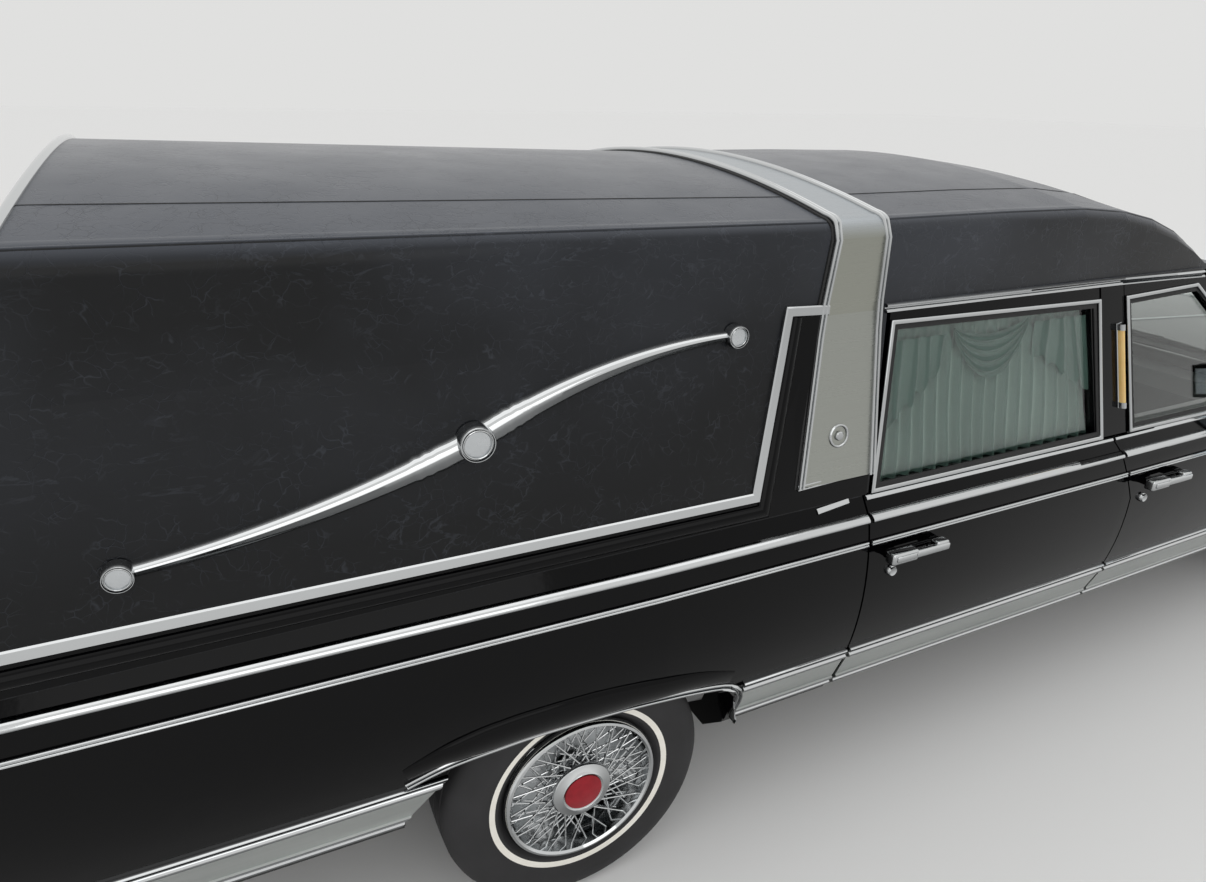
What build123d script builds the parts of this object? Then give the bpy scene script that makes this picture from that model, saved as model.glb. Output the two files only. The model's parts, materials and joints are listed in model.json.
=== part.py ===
"""A long limousine-style hearse: padded roof with blind quarters, wrap-over
band, landau bars, four hinged side doors, a side-hinged loading door, a hood
and four wheels. Frame: +X forward, +Y left, +Z up, millimetres, on the floor.
"""
import os
from math import atan2, cos, degrees, pi, sin
from build123d import *

# Driving dimensions of the chassis
front_axle_x = 2135
wheelbase = 3680
rear_axle_x = front_axle_x - wheelbase
bumper_front_x = 3165
bumper_rear_x = -3165
tyre_radius = 350
axle_z = tyre_radius
tyre_width = 225
front_wheel_y = 785
rear_wheel_y = 805
kingpin_y = 735
door_gap = 6
upper_gap = 11
running_fit = 0.3

# Body side, half widths over height at the widest station
sill_z = 385
belt_z = 1005
drip_z = 1480
side_low = (790, 290)
side_tuck = (875, 368)
side_clad = (942, 547)
side_wide = (968, 750)
side_shoulder = (945, 955)
side_belt = (912, belt_z)
side_drip = (842, drip_z)
# Stations of the lower body: x, share of the full half width
width_stations = ((-3085, 0.955), (-1350, 1.0), (300, 1.0), (1600, 0.985), (3080, 0.945))
# Stations of the roof, which rises a little to the rear and droops ahead of roof_flat_x
roof_xs = (-2760, -2450, -900, -300, 0, 180, 320, 440, 540, 610, 660, 820)
roof_flat_x = -300
roof_droop_length = 950
roof_droop_power = 3.5
roof_rear_rise = 0.15
roof_least_share = 0.08
roof_edge = (838, 1652)
roof_corner_mid = (826, 1683)
roof_corner_top = (790, 1699)
roof_crown_mid = (420, 1763)
roof_crown_z = 1788

# The middle post between the window frames, rear and front edge at the belt and at the drip line
post_rear_belt_x, post_rear_drip_x = 201, 109
post_front_belt_x, post_front_drip_x = 324, 222
post_gap = 6

# Walls
door_wall = 100
skin_wall = 30
fender_wall = 15
arch_wall = 12
upper_wall = 45
post_wall = 70
post_depth = 125
roof_wall = 60
glass_inset = 15
glass_wall = 6
trim_relief = 5
drip_relief = 6
rail_width = 7

# Seams in side view
quarter_seam_x = -750
pillar_seam_x = 342
pillar_seam_belt_x = 250
cowl_seam_x = 1515
seam_bend_z = 800
blind_seam_belt_x = -733
blind_seam_drip_x = -694
seam_step = 6

# Handles and mirrors of the side doors
handle_z = 862
handle_half = 9
handle_proud = 26
handle_reach = (-115, 75)
handle_feet = (-95, 55)
post_hinges = ((470, 550), (700, 780))
cowl_hinges = ((470, 550), (800, 880))

# Front end
hood_rear_z = 1000
hood_front_z = 912
hood_half = 700
hood_front_x = 2990
hood_axis_x = 1522
hood_axis_z = 976
hood_lug_y = 600
hood_wall = 28
front_panel_x = 3060
grille_half = 300
grille_low = 606
grille_high = 940
grille_depth = 32
grille_bars = 15
grille_ribs = 6
# Lamps: inner and outer edge from the middle, lower edge
headlamps = ((385, 560, 735), (575, 750, 735), (770, 900, 640))
headlamp_top = 865
headlamp_depth = 16
headlamp_rim = 10
bumper_half = 935
bumper_low = 410
bumper_high = 560
guard_y = 330
guard_half = 32

# Rear face, a plane leaning forward at the top
rear_low = (-3040, 600)
rear_high = (-2520, 1700)
load_door_half = 600
load_door_wall = 60
load_door_low = 50
load_door_high = 1060
load_gap = 8
load_axis_u = -load_door_half - load_gap / 2
load_axis_w = 9
load_hinges = (250, 850)
load_window = (-470, 470, 430, 960)
hinge_half = 62
barrel_half = 20
barrel_gap = 0.5
barrel_radius = 8
pin_radius = 4
hinge_leaf = 5
fin_half = 705
fin_x = -3080

# Two holes for the number plate in the rear bumper
plate_spacing = 177.8
plate_hole_radius = 3.5
plate_z = 475

# Wheels and arches
rim_seat_radius = 195
rim_flange_radius = 210
rim_half = 95
spindle_radius = 28
front_arch_radius = 395
rear_arch_top = 592
rear_arch_front_x = rear_axle_x + 438
rear_arch_rear_x = rear_axle_x - 430
wheelhouse_radius = 410
wheelhouse_y = 455
cap_radius = 81
disc_radius = 54
spoke_count = 20
spoke_size = 4
spoke_lean = 0.42

# Floor and deck levels, with what stands on them
floor_low, floor_high = 378, 393
rear_floor_wall = 15
deck_top = 665
deck_half = 520
seat_half = 690

# Landau bars: buttons and medallion in side view, their radii, half widths and bows of the arms
landau_points = ((-2413, 1185), (-1771, 1317), (-1152, 1461))
landau_radii = (27, 38, 27)
landau_half = (12, 16)
landau_bows = (-14, 32)
landau_depth = 18
button_depth = 26

os.makedirs("parts", exist_ok=True)


def block(x0, x1, y0, y1, z0, z1):
    """A box between two opposite corners."""
    return Pos((x0 + x1) / 2, (y0 + y1) / 2, (z0 + z1) / 2) * Box(x1 - x0, y1 - y0, z1 - z0)


def side_prism(points, y0, y1):
    """A prism whose outline is drawn in side view, from y0 to y1."""
    face = make_face(Polyline(*[(x, y0, z) for x, z in points], close=True))
    return extrude(face, amount=y1 - y0, dir=(0, 1, 0))


def mirrored(shape):
    """The left-hand twin of a right-hand shape."""
    return mirror(shape, about=Plane.XZ)


def both(shape):
    """A right-hand shape with its left-hand twin."""
    return Compound(shape.solids() + mirrored(shape).solids())


def save(shape, name):
    """Writes one node."""
    export_step(shape, f"parts/{name}.step")


def roof_share(x):
    """Height of the roof's cap over the drip line at x, as a share of its height amidships."""
    rise = roof_rear_rise * min(1, max(0, (roof_xs[2] - x) / (roof_xs[2] - roof_xs[1])))
    droop = max(0, (x - roof_flat_x) / roof_droop_length) ** roof_droop_power
    return max(roof_least_share, 1 + rise - droop)


def lower_body(inset=0):
    """The lower body's outer form, drawn in by inset, as a ruled loft."""
    sections = []
    for x, share in width_stations:
        low_y = side_low[0] * share - inset
        outline = (side_tuck, side_clad, side_wide, side_shoulder, side_belt)
        points = [(y * share - inset, z) for y, z in outline]
        tuck, clad, wide, shoulder, belt = [(x, y, z) for y, z in points]
        base = (x, low_y, side_low[1])
        half = Line((x, 0, side_low[1]), base) + Line(base, tuck) + Line(tuck, clad)
        half += ThreePointArc(clad, wide, shoulder)
        half += Line(shoulder, belt) + Line(belt, (x, 0, belt[2])) + Line((x, 0, belt[2]), (x, 0, side_low[1]))
        sections.append(make_face(half))
    half = loft(sections, ruled=True)
    return half + mirrored(half)


def upper_body(inset=0, top_inset=None):
    """The glasshouse and roof's outer form, drawn in by inset, as ruled lofts."""
    top_inset = inset if top_inset is None else top_inset
    x0, x1 = roof_xs[0] - 500, 1500
    base = [(0, belt_z), (side_belt[0] - inset, belt_z), (side_drip[0] - inset, drip_z), (0, drip_z)]
    face = make_face(Polyline(*[(x0, y, z) for y, z in base], close=True))
    house = extrude(face, amount=x1 - x0, dir=(1, 0, 0))
    sections = []
    for x in roof_xs:
        share = roof_share(x)

        def at(point):
            return (x, point[0] - inset, drip_z + (point[1] - drip_z - top_inset) * share)
        edge, corner_mid, corner_top = at(roof_edge), at(roof_corner_mid), at(roof_corner_top)
        crown_mid = at(roof_crown_mid)
        crown = (x, 0, drip_z + (roof_crown_z - drip_z - top_inset) * share)
        foot = (x, side_drip[0] - inset, drip_z)
        half = Line((x, 0, drip_z), foot) + Line(foot, edge) + ThreePointArc(edge, corner_mid, corner_top)
        half += ThreePointArc(corner_top, crown_mid, crown) + Line(crown, (x, 0, drip_z))
        sections.append(make_face(half))
    cap = loft(sections, ruled=True)
    half = house + cap
    return half + mirrored(half)


rear_slope = atan2(rear_high[0] - rear_low[0], rear_high[1] - rear_low[1])
rear_plane = Plane(
    origin=(rear_low[0], 0, rear_low[1]), x_dir=(0, -1, 0), z_dir=(-cos(rear_slope), 0, sin(rear_slope))
)


def rear_block(u0, u1, v0, v1, w0, w1):
    """A box in the leaning frame of the rear face: u right, v up, w outward."""
    shape = Pos((u0 + u1) / 2, (v0 + v1) / 2, (w0 + w1) / 2) * Box(u1 - u0, v1 - v0, w1 - w0)
    return rear_plane.location * shape


behind = rear_block(-1200, 1200, -800, 1500, 0, 1500)
behind_inner = rear_block(-1200, 1200, -800, 1500, -load_door_wall, 1500)
load_hole = rear_block(
    -load_door_half - load_gap, load_door_half + load_gap,
    load_door_low - load_gap, load_door_high + load_gap, -250, 60,
)


def hinge_barrel(radius, v0, v1):
    """A cylinder along the loading door's hinge line."""
    place = Pos(load_axis_u, (v0 + v1) / 2, load_axis_w) * Rot(90, 0, 0)
    return rear_plane.location * place * Cylinder(radius, v1 - v0)


def body_hinge(v):
    """The body's half of a loading door hinge: a leaf, two barrels and the pin."""
    half = rear_block(load_axis_u - 36, load_axis_u - 9, v - hinge_half, v + hinge_half, 0, hinge_leaf)
    inner = barrel_half + barrel_gap
    for v0, v1 in ((v - hinge_half, v - inner), (v + inner, v + hinge_half)):
        half += rear_block(load_axis_u - 10, load_axis_u, v0, v1, 1, load_axis_w)
        half += hinge_barrel(barrel_radius, v0, v1)
    return half + hinge_barrel(pin_radius, v - hinge_half, v + hinge_half)


# The windshield's plane leans back from the cowl to the roof's front edge
shield_base = (1425, belt_z)
shield_head = (740, drip_z + 48)
shield_bow = 110
shield_dir = Vector(shield_head[0] - shield_base[0], 0, shield_head[1] - shield_base[1])


def shield_solid(inset, depth):
    """All that lies behind the bowed windshield's face drawn in by inset."""
    below = 60
    front = shield_base[0] - inset - shield_dir.X / shield_dir.Z * below
    half, z0 = side_belt[0] + 60, belt_z - below
    ends = [(front - shield_bow, y, z0) for y in (-half, half)]
    arc = ThreePointArc(ends[0], (front, 0, z0), ends[1])
    back = Polyline(ends[1], (front - depth, half, z0), (front - depth, -half, z0), ends[0])
    return extrude(make_face(arc + back), amount=1600, dir=shield_dir.normalized())


outer_low = lower_body()
inner_low = lower_body(door_wall)
skin_low = lower_body(skin_wall)
fender_low = lower_body(fender_wall)
arch_low = lower_body(arch_wall)
outer_up = upper_body() & shield_solid(0, 6000)
outer_up -= behind
inner_up = upper_body(upper_wall, roof_wall)
relief_low = lower_body(-trim_relief)
print("envelopes built")

# Trim bands on the body side: lower edge, upper edge
trim_bands = ((sill_z, side_clad[1]), (883, 897), (946, 966))
hood_fall = (hood_rear_z - hood_front_z) / (hood_front_x - cowl_seam_x)


def trim_band(z0, z1):
    """The height range of one trim band; those above the cladding fall along the fender."""
    x0, x1, x2 = -3300, cowl_seam_x, 3300
    fall = hood_fall * (x2 - x1) if z0 > side_clad[1] else 0
    return side_prism([(x0, z0), (x1, z0), (x2, z0 - fall), (x2, z1 - fall), (x1, z1), (x0, z1)], -1100, 1100)


def side_relief(shape_range):
    """Mouldings and cladding that stand proud of the lower body inside a prism."""
    shell = (relief_low - outer_low) & shape_range
    return [shell & block(-3300, 3300, -1100, 0, z0, z1) for z0, z1 in trim_bands]


# Doors, right-hand side, each a skin over a thicker inner box
def door_outline(x_rear, x_front, rear_kind, inner):
    """Side-view outline of a door below the belt."""
    half = door_gap / 2
    free = 8 if inner else 0
    if rear_kind == "quarter":
        rear = [(x_rear + half + free, belt_z), (x_rear + half + free, sill_z)]
        front = [(x_front - half, sill_z), (x_front - half, seam_bend_z), (pillar_seam_belt_x - half, belt_z)]
    else:
        rear = [(pillar_seam_belt_x + half + free, belt_z), (x_rear + half + free, seam_bend_z),
                (x_rear + half + free, sill_z)]
        front = [(x_front - half, sill_z), (x_front - half, belt_z)]
    return rear + front


frame_top = drip_z - 6
rear_frame = [(blind_seam_belt_x + upper_gap, belt_z), (post_rear_belt_x, belt_z),
              (post_rear_drip_x, frame_top), (blind_seam_drip_x + upper_gap, frame_top)]
rear_window = [(-706, belt_z + 12), (168, belt_z + 12), (80, 1424), (-669, 1434)]
front_frame = [(post_front_belt_x, belt_z), (1245, belt_z), (610, frame_top), (post_front_drip_x, frame_top)]
front_window = [(348, belt_z + 12), (1165, belt_z + 12), (592, 1434), (252, 1424)]

upper_shell = upper_body() - upper_body(upper_wall, roof_wall)
glass_shell = upper_body(glass_inset) - upper_body(glass_inset + glass_wall)
curtain_shell = upper_body(upper_wall + running_fit) - upper_body(upper_wall + 22)
door_shell_low = outer_low - inner_low
door_skin_low = outer_low - skin_low


def right(points):
    """Right-hand prism over an outline in side view."""
    return side_prism(points, -1100, -300)


def side_door(x_rear, x_front, kind, frame, window):
    """One right-hand door with its window cut and its trim in relief."""
    lower = door_shell_low & right(door_outline(x_rear, x_front, kind, True))
    skin_range = right(door_outline(x_rear, x_front, kind, False))
    door = lower + (door_skin_low & skin_range)
    door += (upper_shell & right(frame)) - right(window)
    for band in side_relief(skin_range):
        door += band
    return door


def leaf_plates(x, heights, y_in):
    """Hinge leaves that reach out through the gap in front of a right-hand door."""
    inside = lower_body(door_gap)
    plates = [block(x, x + 2, -1000, -y_in, z0, z1) & inside for z0, z1 in heights]
    return plates[0] + plates[1]


def door_handle(x, z):
    """A pull handle on its two feet, seated on the door's skin."""
    y = -side_wide[0]
    start, end = handle_reach
    grip = block(x + start, x + end, y - handle_proud, y - 12, z - handle_half, z + handle_half)
    feet = [block(x + dx - 14, x + dx + 14, y - 14, y + 12, z - 12, z + 12) for dx in handle_feet]
    return grip + feet[0] + feet[1]


rear_door = side_door(quarter_seam_x, pillar_seam_x, "quarter", rear_frame, rear_window)
rear_door += door_handle(-600, handle_z)
front_door = side_door(pillar_seam_x, cowl_seam_x, "pillar", front_frame, front_window)
front_door += door_handle(475, handle_z)
mirror_arm = block(1085, 1135, -935, -895, 1022, 1062)
mirror_head = block(1050, 1140, -1100, -935, 1010, 1130)
front_door += mirror_arm + mirror_head
front_door -= block(1190, cowl_seam_x + 5, -868, -700, 945, belt_z + 5)
rear_glass = glass_shell & right(rear_window)
front_glass = glass_shell & right(front_window)
curtain = curtain_shell & right([(-722, belt_z + 4), (184, belt_z + 4), (96, 1446), (-676, 1446)])
for side, turn in (("right", lambda s: s), ("left", mirrored)):
    save(turn(rear_door), f"rear_door_{side}")
    save(turn(front_door), f"front_door_{side}")
    save(turn(rear_glass), f"rear_door_glass_{side}")
    save(turn(front_glass), f"front_door_glass_{side}")
    save(turn(curtain), f"curtain_{side}")
print("doors built")

# Quarter panels with flat wheel openings
quarter_end_x = quarter_seam_x - door_gap / 2
quarter_range = block(-3400, quarter_end_x, -1100, 1100, side_low[1], belt_z)
rear_hub = Pos(rear_axle_x, 0, axle_z) * Rot(90, 0, 0)
wheelhouse = rear_hub * Cylinder(wheelhouse_radius, 2200) & arch_low
arch_outline = [(rear_arch_rear_x, 200), (rear_arch_front_x, 200), (rear_arch_front_x, 487),
                (rear_arch_front_x - 38, 538), (rear_arch_front_x - 157, rear_arch_top - 24),
                (rear_arch_front_x - 315, rear_arch_top - 6), (rear_arch_front_x - 480, rear_arch_top),
                (rear_arch_rear_x + 209, rear_arch_top - 6), (rear_arch_rear_x + 75, rear_arch_top - 22),
                (rear_arch_rear_x, rear_arch_top - 50)]
rear_arch = side_prism(arch_outline, -1100, 1100)
middle = block(-3400, 0, -fin_half, fin_half, 0, 1100)
quarter_inner = inner_low - behind_inner
quarter = ((outer_low - (behind & middle)) - quarter_inner) & quarter_range
quarter -= block(-3500, fin_x, -1100, 1100, 0, 1100)
quarter -= wheelhouse
relief = (relief_low - outer_low) & quarter_range
relief -= block(-3500, fin_x + 40, -1100, 1100, 0, 1100)
for z0, z1 in trim_bands:
    quarter += relief & trim_band(z0, z1)
quarter -= rear_arch
quarter -= load_hole
quarter += body_hinge(load_hinges[0])
quarter -= block(-3400, 0, -fin_half, fin_half, 0, rear_low[1])
pan_x = fin_x + 5
quarter += block(pan_x, pan_x + 20, -fin_half, fin_half, 420, rear_low[1])
quarter += block(pan_x, rear_low[0] + 60, -fin_half, fin_half, rear_low[1] - 20, rear_low[1] + 12)
save(quarter, "quarter_panels")
print("quarters built")

# Roof with blind quarters, one hollow piece under padded vinyl
cap_z = drip_z + seam_step
blind = [(-3400, belt_z), (quarter_end_x, belt_z), (quarter_end_x, belt_z + seam_step),
         (blind_seam_belt_x, belt_z + seam_step), (blind_seam_drip_x, cap_z), (-3400, cap_z)]
cap_range = block(-3400, 1500, -1100, 1100, cap_z, 1900)
roof_range = cap_range + side_prism(blind, -1100, 1100)
inner_roof = (inner_up - behind_inner) & shield_solid(45, 6000)
vinyl_roof = (outer_up - inner_roof) & roof_range
vinyl_roof -= load_hole
rail = block(blind_seam_drip_x + seam_step, 600, -1100, 1100, cap_z, cap_z + rail_width)
vinyl_roof += (upper_body(-drip_relief) - upper_body()) & rail & cap_range
vinyl_roof += body_hinge(load_hinges[1])
save(vinyl_roof, "vinyl_roof")
band_outline = [(-965, 1064), (-725, 1064), (-721, 1900), (-883, 1900), (-883, 1680)]
band_skin = (upper_body(-trim_relief) - upper_body()) & side_prism(band_outline, -1100, 1100)
save(band_skin, "roof_band")
print("roof built")

# Windshield and the pillars that carry the roof
shield_glass = (shield_solid(10, 6000) - shield_solid(16, 6000)) & upper_body(post_wall + running_fit)
shield_glass &= block(0, 1500, -900, 900, belt_z, cap_z - running_fit)
save(shield_glass, "windshield")
front_post = [(1251, belt_z), (1420, belt_z), (780, cap_z), (616, cap_z)]
front_posts = (outer_up - upper_body(post_wall)) & side_prism(front_post, -1100, 1100)
for side in (-1, 1):
    lo, hi = sorted((side * 864, side * 1100))
    front_posts -= block(1000, 1500, lo, hi, belt_z - 5, belt_z + seam_step)
post_line = ((775, floor_low), (800, 600), (800, 1000), (785, cap_z))
post_outer = [(0, -y, z) for y, z in post_line]
post_inner = [(0, 50 - y, z) for y, z in reversed(post_line)]
post_face = make_face(Polyline(*post_outer, *post_inner, close=True))
middle_post = Pos(245, 0, 0) * extrude(post_face, amount=80, dir=(1, 0, 0))
leaf_x = pillar_seam_x - door_gap / 2 + running_fit
post_foot_z = belt_z + seam_step
post_top = [(post_rear_belt_x + post_gap, post_foot_z), (post_front_belt_x - post_gap, post_foot_z),
            (post_front_drip_x - post_gap, cap_z), (post_rear_drip_x + post_gap, cap_z)]
middle_post += (outer_up - upper_body(post_depth)) & side_prism(post_top, -1100, 0)
middle_post += leaf_plates(leaf_x, post_hinges, 790)
for z0, z1 in post_hinges:
    middle_post += block(320, leaf_x + 2, -795, -775, z0, z1)
save(Compound(front_posts.solids() + both(middle_post).solids()), "pillars")

# Front fenders: skin, crown, wheel liner and apron on each side
def hood_z(x):
    """Height of the fender crown and hood edge at x."""
    return hood_rear_z - hood_fall * (x - cowl_seam_x)


def below_hood(drop):
    """Prism of all that lies below the hood line lowered by drop."""
    x0, x1 = cowl_seam_x + 3, front_panel_x - 5
    return side_prism([(x0, 200), (x1, 200), (x1, hood_z(x1) - drop), (x0, hood_z(x0) - drop)], -1100, 0)


front_wheel = Pos(front_axle_x, 0, axle_z) * Rot(90, 0, 0)
opening = front_wheel * Cylinder(front_arch_radius, 2200)
opening += block(front_axle_x - front_arch_radius, front_axle_x + front_arch_radius, -1100, 1100, 0, axle_z)
skin = (outer_low - fender_low) & below_hood(0)
crown = (outer_low & (below_hood(0) - below_hood(fender_wall))) - block(0, 4000, -hood_half - 6, 0, 0, 1100)
liner = front_wheel * (Cylinder(front_arch_radius + 22, 2200) - Cylinder(front_arch_radius + 10, 2200))
liner = liner & fender_low & block(0, 4000, -1100, -wheelhouse_y, axle_z, 1100)
apron = block(cowl_seam_x + 3, front_panel_x - 5, -hood_half - 21, -hood_half - 6, 730, 1100) & below_hood(5)
side_wall = block(front_axle_x - 417, front_axle_x + 417, -wheelhouse_y - 12, -wheelhouse_y, 500, 762)
side_wall &= front_wheel * Cylinder(front_arch_radius + 22, 2200)
for z0, z1 in trim_bands:
    skin += (relief_low - outer_low) & below_hood(2) & trim_band(z0, z1)
fender = (skin - opening) + crown + liner + apron + side_wall
save(both(fender), "front_fenders")

# Hood with a crowned top, hinged at its rear edge
sections = []
for x in (cowl_seam_x + 13, hood_front_x):
    edge, rise = hood_z(x), 25
    top = ThreePointArc((x, -hood_half, edge), (x, 0, edge + rise), (x, hood_half, edge))
    under = edge - hood_wall
    low = ThreePointArc((x, hood_half, under), (x, 0, under + rise), (x, -hood_half, under))
    ring = top + Line(top @ 1, low @ 0) + low + Line(low @ 1, top @ 0)
    sections.append(make_face(ring))
hood = loft(sections, ruled=True)
for y in (-hood_lug_y, hood_lug_y):
    hood -= block(1500, 1548, y - 20, y + 20, 900, hood_axis_z + 19)
    hood += block(hood_axis_x - 9, 1560, y - 6, y + 6, hood_axis_z - 9, hood_axis_z + 12)
    hood += block(1530, 1560, y - 6, y + 6, hood_axis_z, hood_axis_z + 24)
    hood -= Pos(hood_axis_x, y, hood_axis_z) * Rot(90, 0, 0) * Cylinder(5 + running_fit, 40)
save(hood, "hood")

# Firewall and cowl
cowl_lip_z = hood_axis_z + 5
cowl = block(1365, 1470, -862, 862, 955, belt_z - running_fit)
cowl += block(1470, cowl_seam_x + 3, -862, 862, 955, cowl_lip_z)
cowl += block(1488, 1506, -765, 765, 393, 955)
for side in (-1, 1):
    lo, hi = sorted((side * 720, side * 862))
    cowl += block(1245, 1366, lo, hi, 955, belt_z - 0.3)
    lo, hi = sorted((side * 720, side * 765))
    cowl += block(1488, cowl_seam_x + 3, lo, hi, 393, 955)
    for y in (side * (hood_lug_y - 13), side * (hood_lug_y + 13)):
        cowl += block(cowl_seam_x, hood_axis_x + 5.5, y - 4, y + 4, hood_axis_z - 9, hood_axis_z + 6)
    y = side * hood_lug_y
    cowl -= block(hood_axis_x - 18, cowl_seam_x + 4, y - 9, y + 9, 940, 1000)
    cowl += Pos(hood_axis_x, y, hood_axis_z) * Rot(90, 0, 0) * Cylinder(5, 32)
leaves = leaf_plates(cowl_seam_x - door_gap / 2 + running_fit, cowl_hinges, 740)
cowl += leaves + mirrored(leaves)
save(cowl, "firewall")

# Front panel, grille, lamps and bumpers
panel_range = block(hood_front_x + 6, front_panel_x, -1100, 1100, 560, hood_front_z + 6)
front_panel = outer_low & panel_range
front_panel -= block(hood_front_x, front_panel_x - 5, -1100, -hood_half - 5, 0, 1100)
front_panel -= block(hood_front_x, front_panel_x - 5, hood_half + 5, 1100, 0, 1100)
save(front_panel, "front_panel")
grille_x = front_panel_x + grille_depth
opening_half, opening_low, opening_high = grille_half - 22, grille_low + 16, grille_high - 42
grille = block(front_panel_x, grille_x, -grille_half, grille_half, grille_low, grille_high)
grille -= block(front_panel_x + 8, grille_x + 5, -opening_half, opening_half, opening_low, opening_high)
for i in range(grille_bars):
    y = -opening_half + (i + 1) * 2 * opening_half / (grille_bars + 1)
    grille += block(front_panel_x, grille_x - 6, y - 3, y + 3, opening_low - 6, opening_high + 2)
for i in range(grille_ribs):
    z = opening_low + (i + 1) * (opening_high - opening_low) / (grille_ribs + 1)
    grille += block(front_panel_x, grille_x - 8, -opening_half - 2, opening_half + 2, z - 3, z + 3)
save(grille, "grille")
lamps = []
for side in (-1, 1):
    for y0, y1, z0 in headlamps:
        lo, hi = sorted((side * y0, side * y1))
        lamp = block(front_panel_x, front_panel_x + headlamp_depth, lo, hi, z0, headlamp_top)
        lo, hi = lo + headlamp_rim, hi - headlamp_rim
        z1 = headlamp_top - headlamp_rim
        lamps.append(lamp - block(front_panel_x + 9, front_panel_x + 20, lo, hi, z0 + headlamp_rim, z1))
save(Compound([lamp.solid() for lamp in lamps]), "headlamps")


def bumper(x_face, x_back, x_wrap):
    """A bumper bar with short ends that wrap round the corners."""
    out = 1 if x_face > x_back else -1
    flat_low, flat_high = bumper_low + 26, bumper_high - 48
    profile = ((26, bumper_low), (6, flat_low), (6, flat_high), (22, flat_high + 14), (30, bumper_high))
    front = [(x_face - out * depth, z) for depth, z in profile]
    bar = side_prism([(x_back, bumper_low), *front, (x_back, bumper_high)], -bumper_half, bumper_half)
    for y in (-guard_y, guard_y):
        lo, hi = sorted((x_face, x_face - out * 30))
        bar += block(lo, hi, y - guard_half, y + guard_half, bumper_low + 8, bumper_high - 4)
    lo, hi = sorted((x_back, x_wrap))
    for side in (-1, 1):
        y0, y1 = sorted((side * bumper_half, side * (bumper_half - 14)))
        bar += block(lo, hi, y0, y1, bumper_low, bumper_high)
    return bar


save(bumper(bumper_front_x, front_panel_x, 2940) - outer_low, "front_bumper")
rear_bumper = bumper(bumper_rear_x, fin_x, -2950) - outer_low
for y in (-plate_spacing / 2, plate_spacing / 2):
    rear_bumper -= Pos(bumper_rear_x, y, plate_z) * Rot(0, 90, 0) * Cylinder(plate_hole_radius, 50)
save(rear_bumper, "rear_bumper")
tails = [block(fin_x - 16, fin_x, *sorted((side * 735, side * 895)), 640, 975).solid() for side in (-1, 1)]
save(Compound(tails), "tail_lamps")
print("ends built")

# Loading door in the leaning rear face, its glass and curtain
load_door = rear_block(-load_door_half, load_door_half, load_door_low, load_door_high, -load_door_wall, 0)
load_door -= rear_block(*load_window, -100, 20)
load_door += rear_block(440, 560, 330, 352, 0, 34)
for v in load_hinges:
    v0, v1 = v - barrel_half, v + barrel_half
    load_door += rear_block(load_axis_u + 7, load_axis_u + 34, v0, v1, 0, hinge_leaf)
    load_door += rear_block(load_axis_u, load_axis_u + 10, v0, v1, 1, load_axis_w)
    load_door += hinge_barrel(barrel_radius, v0, v1)
    load_door -= hinge_barrel(pin_radius + running_fit, v0 - 10, v1 + 10)
save(load_door, "loading_door")
save(rear_block(*load_window, -18 - glass_wall, -18), "loading_door_glass")
u0, u1, v0, v1 = load_window
load_curtain = rear_block(u0 - 20, u1 + 20, v0 - 15, v1 + 15, -82, -load_door_wall - running_fit)
save(load_curtain, "loading_door_curtain")

# Floor: sills, cabin floor, heel, rear floor, wheel tubs and rear sill
sill_outline = ((-785, 292), (-862, 372), (-862, floor_low), (-690, floor_low), (-690, 292))
sill_face = make_face(Polyline(*[(0, y, z) for y, z in sill_outline], close=True))
sill = Pos(quarter_seam_x, 0, 0) * extrude(sill_face, amount=1500 - quarter_seam_x, dir=(1, 0, 0))
rear_floor_low, rear_floor_high = rear_low[1], rear_low[1] + rear_floor_wall
floor = block(-700, 1488, -720, 720, floor_low, floor_high) + sill + mirrored(sill)
floor += block(-715, -700, -765, 765, floor_low, rear_floor_high)
floor_range = block(-3400, -710, -1000, 1000, rear_floor_low, rear_floor_high)
rear_floor = (inner_low - behind_inner) & floor_range
tub_space = rear_hub * Cylinder(wheelhouse_radius, 2200)
tub_outer = rear_hub * Cylinder(wheelhouse_radius + arch_wall, 2200)
tub_y = 655
for side in (-1, 1):
    lo, hi = sorted((side * tub_y, side * 1000))
    rear_floor -= tub_space & block(-3400, 0, lo, hi, 0, 1100)
    rear_floor += (tub_outer - tub_space) & inner_low & block(-3400, 0, lo, hi, rear_floor_low, 1100)
    lo, hi = sorted((side * (tub_y - arch_wall), side * tub_y))
    rear_floor += tub_outer & block(-3400, 0, lo, hi, rear_floor_low, 1100)
floor += rear_floor
save(floor, "floor_pan")

# Chassis: kicked-up rails, cross members, suspension, axle, shaft, engine, tank, exhaust
rail_low, rail_top = 290, floor_low - running_fit
rail = side_prism([(2980, rail_low), (-1100, rail_low), (-1300, 470), (-1800, 470), (-2000, 380), (-2880, 380),
                   (-2880, 485), (-2040, 485), (-1840, 575), (-1260, 575), (-1060, rail_top),
                   (2980, rail_top)], -450, -380)
frame = rail + mirrored(rail)
cross_members = [(2800, rail_low, rail_top), (-2060, 400, 485), (-2830, 380, 440)]
cross_members += [(x, rail_low, rail_low + 24) for x in (1250, 250, -750)]
for x, z0, z1 in cross_members:
    frame += block(x - 40, x + 40, -400, 400, z0, z1)
save(frame, "chassis_frame")
arm_wall, knuckle_half = 24, 105
arm_high = axle_z + knuckle_half + running_fit
arm_low = axle_z - knuckle_half - running_fit - arm_wall
pin = 12
beam = block(front_axle_x - 50, front_axle_x + 50, -450, 450, arm_low, rail_low)
pin_hole = Cylinder(pin + running_fit, 400)
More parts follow.
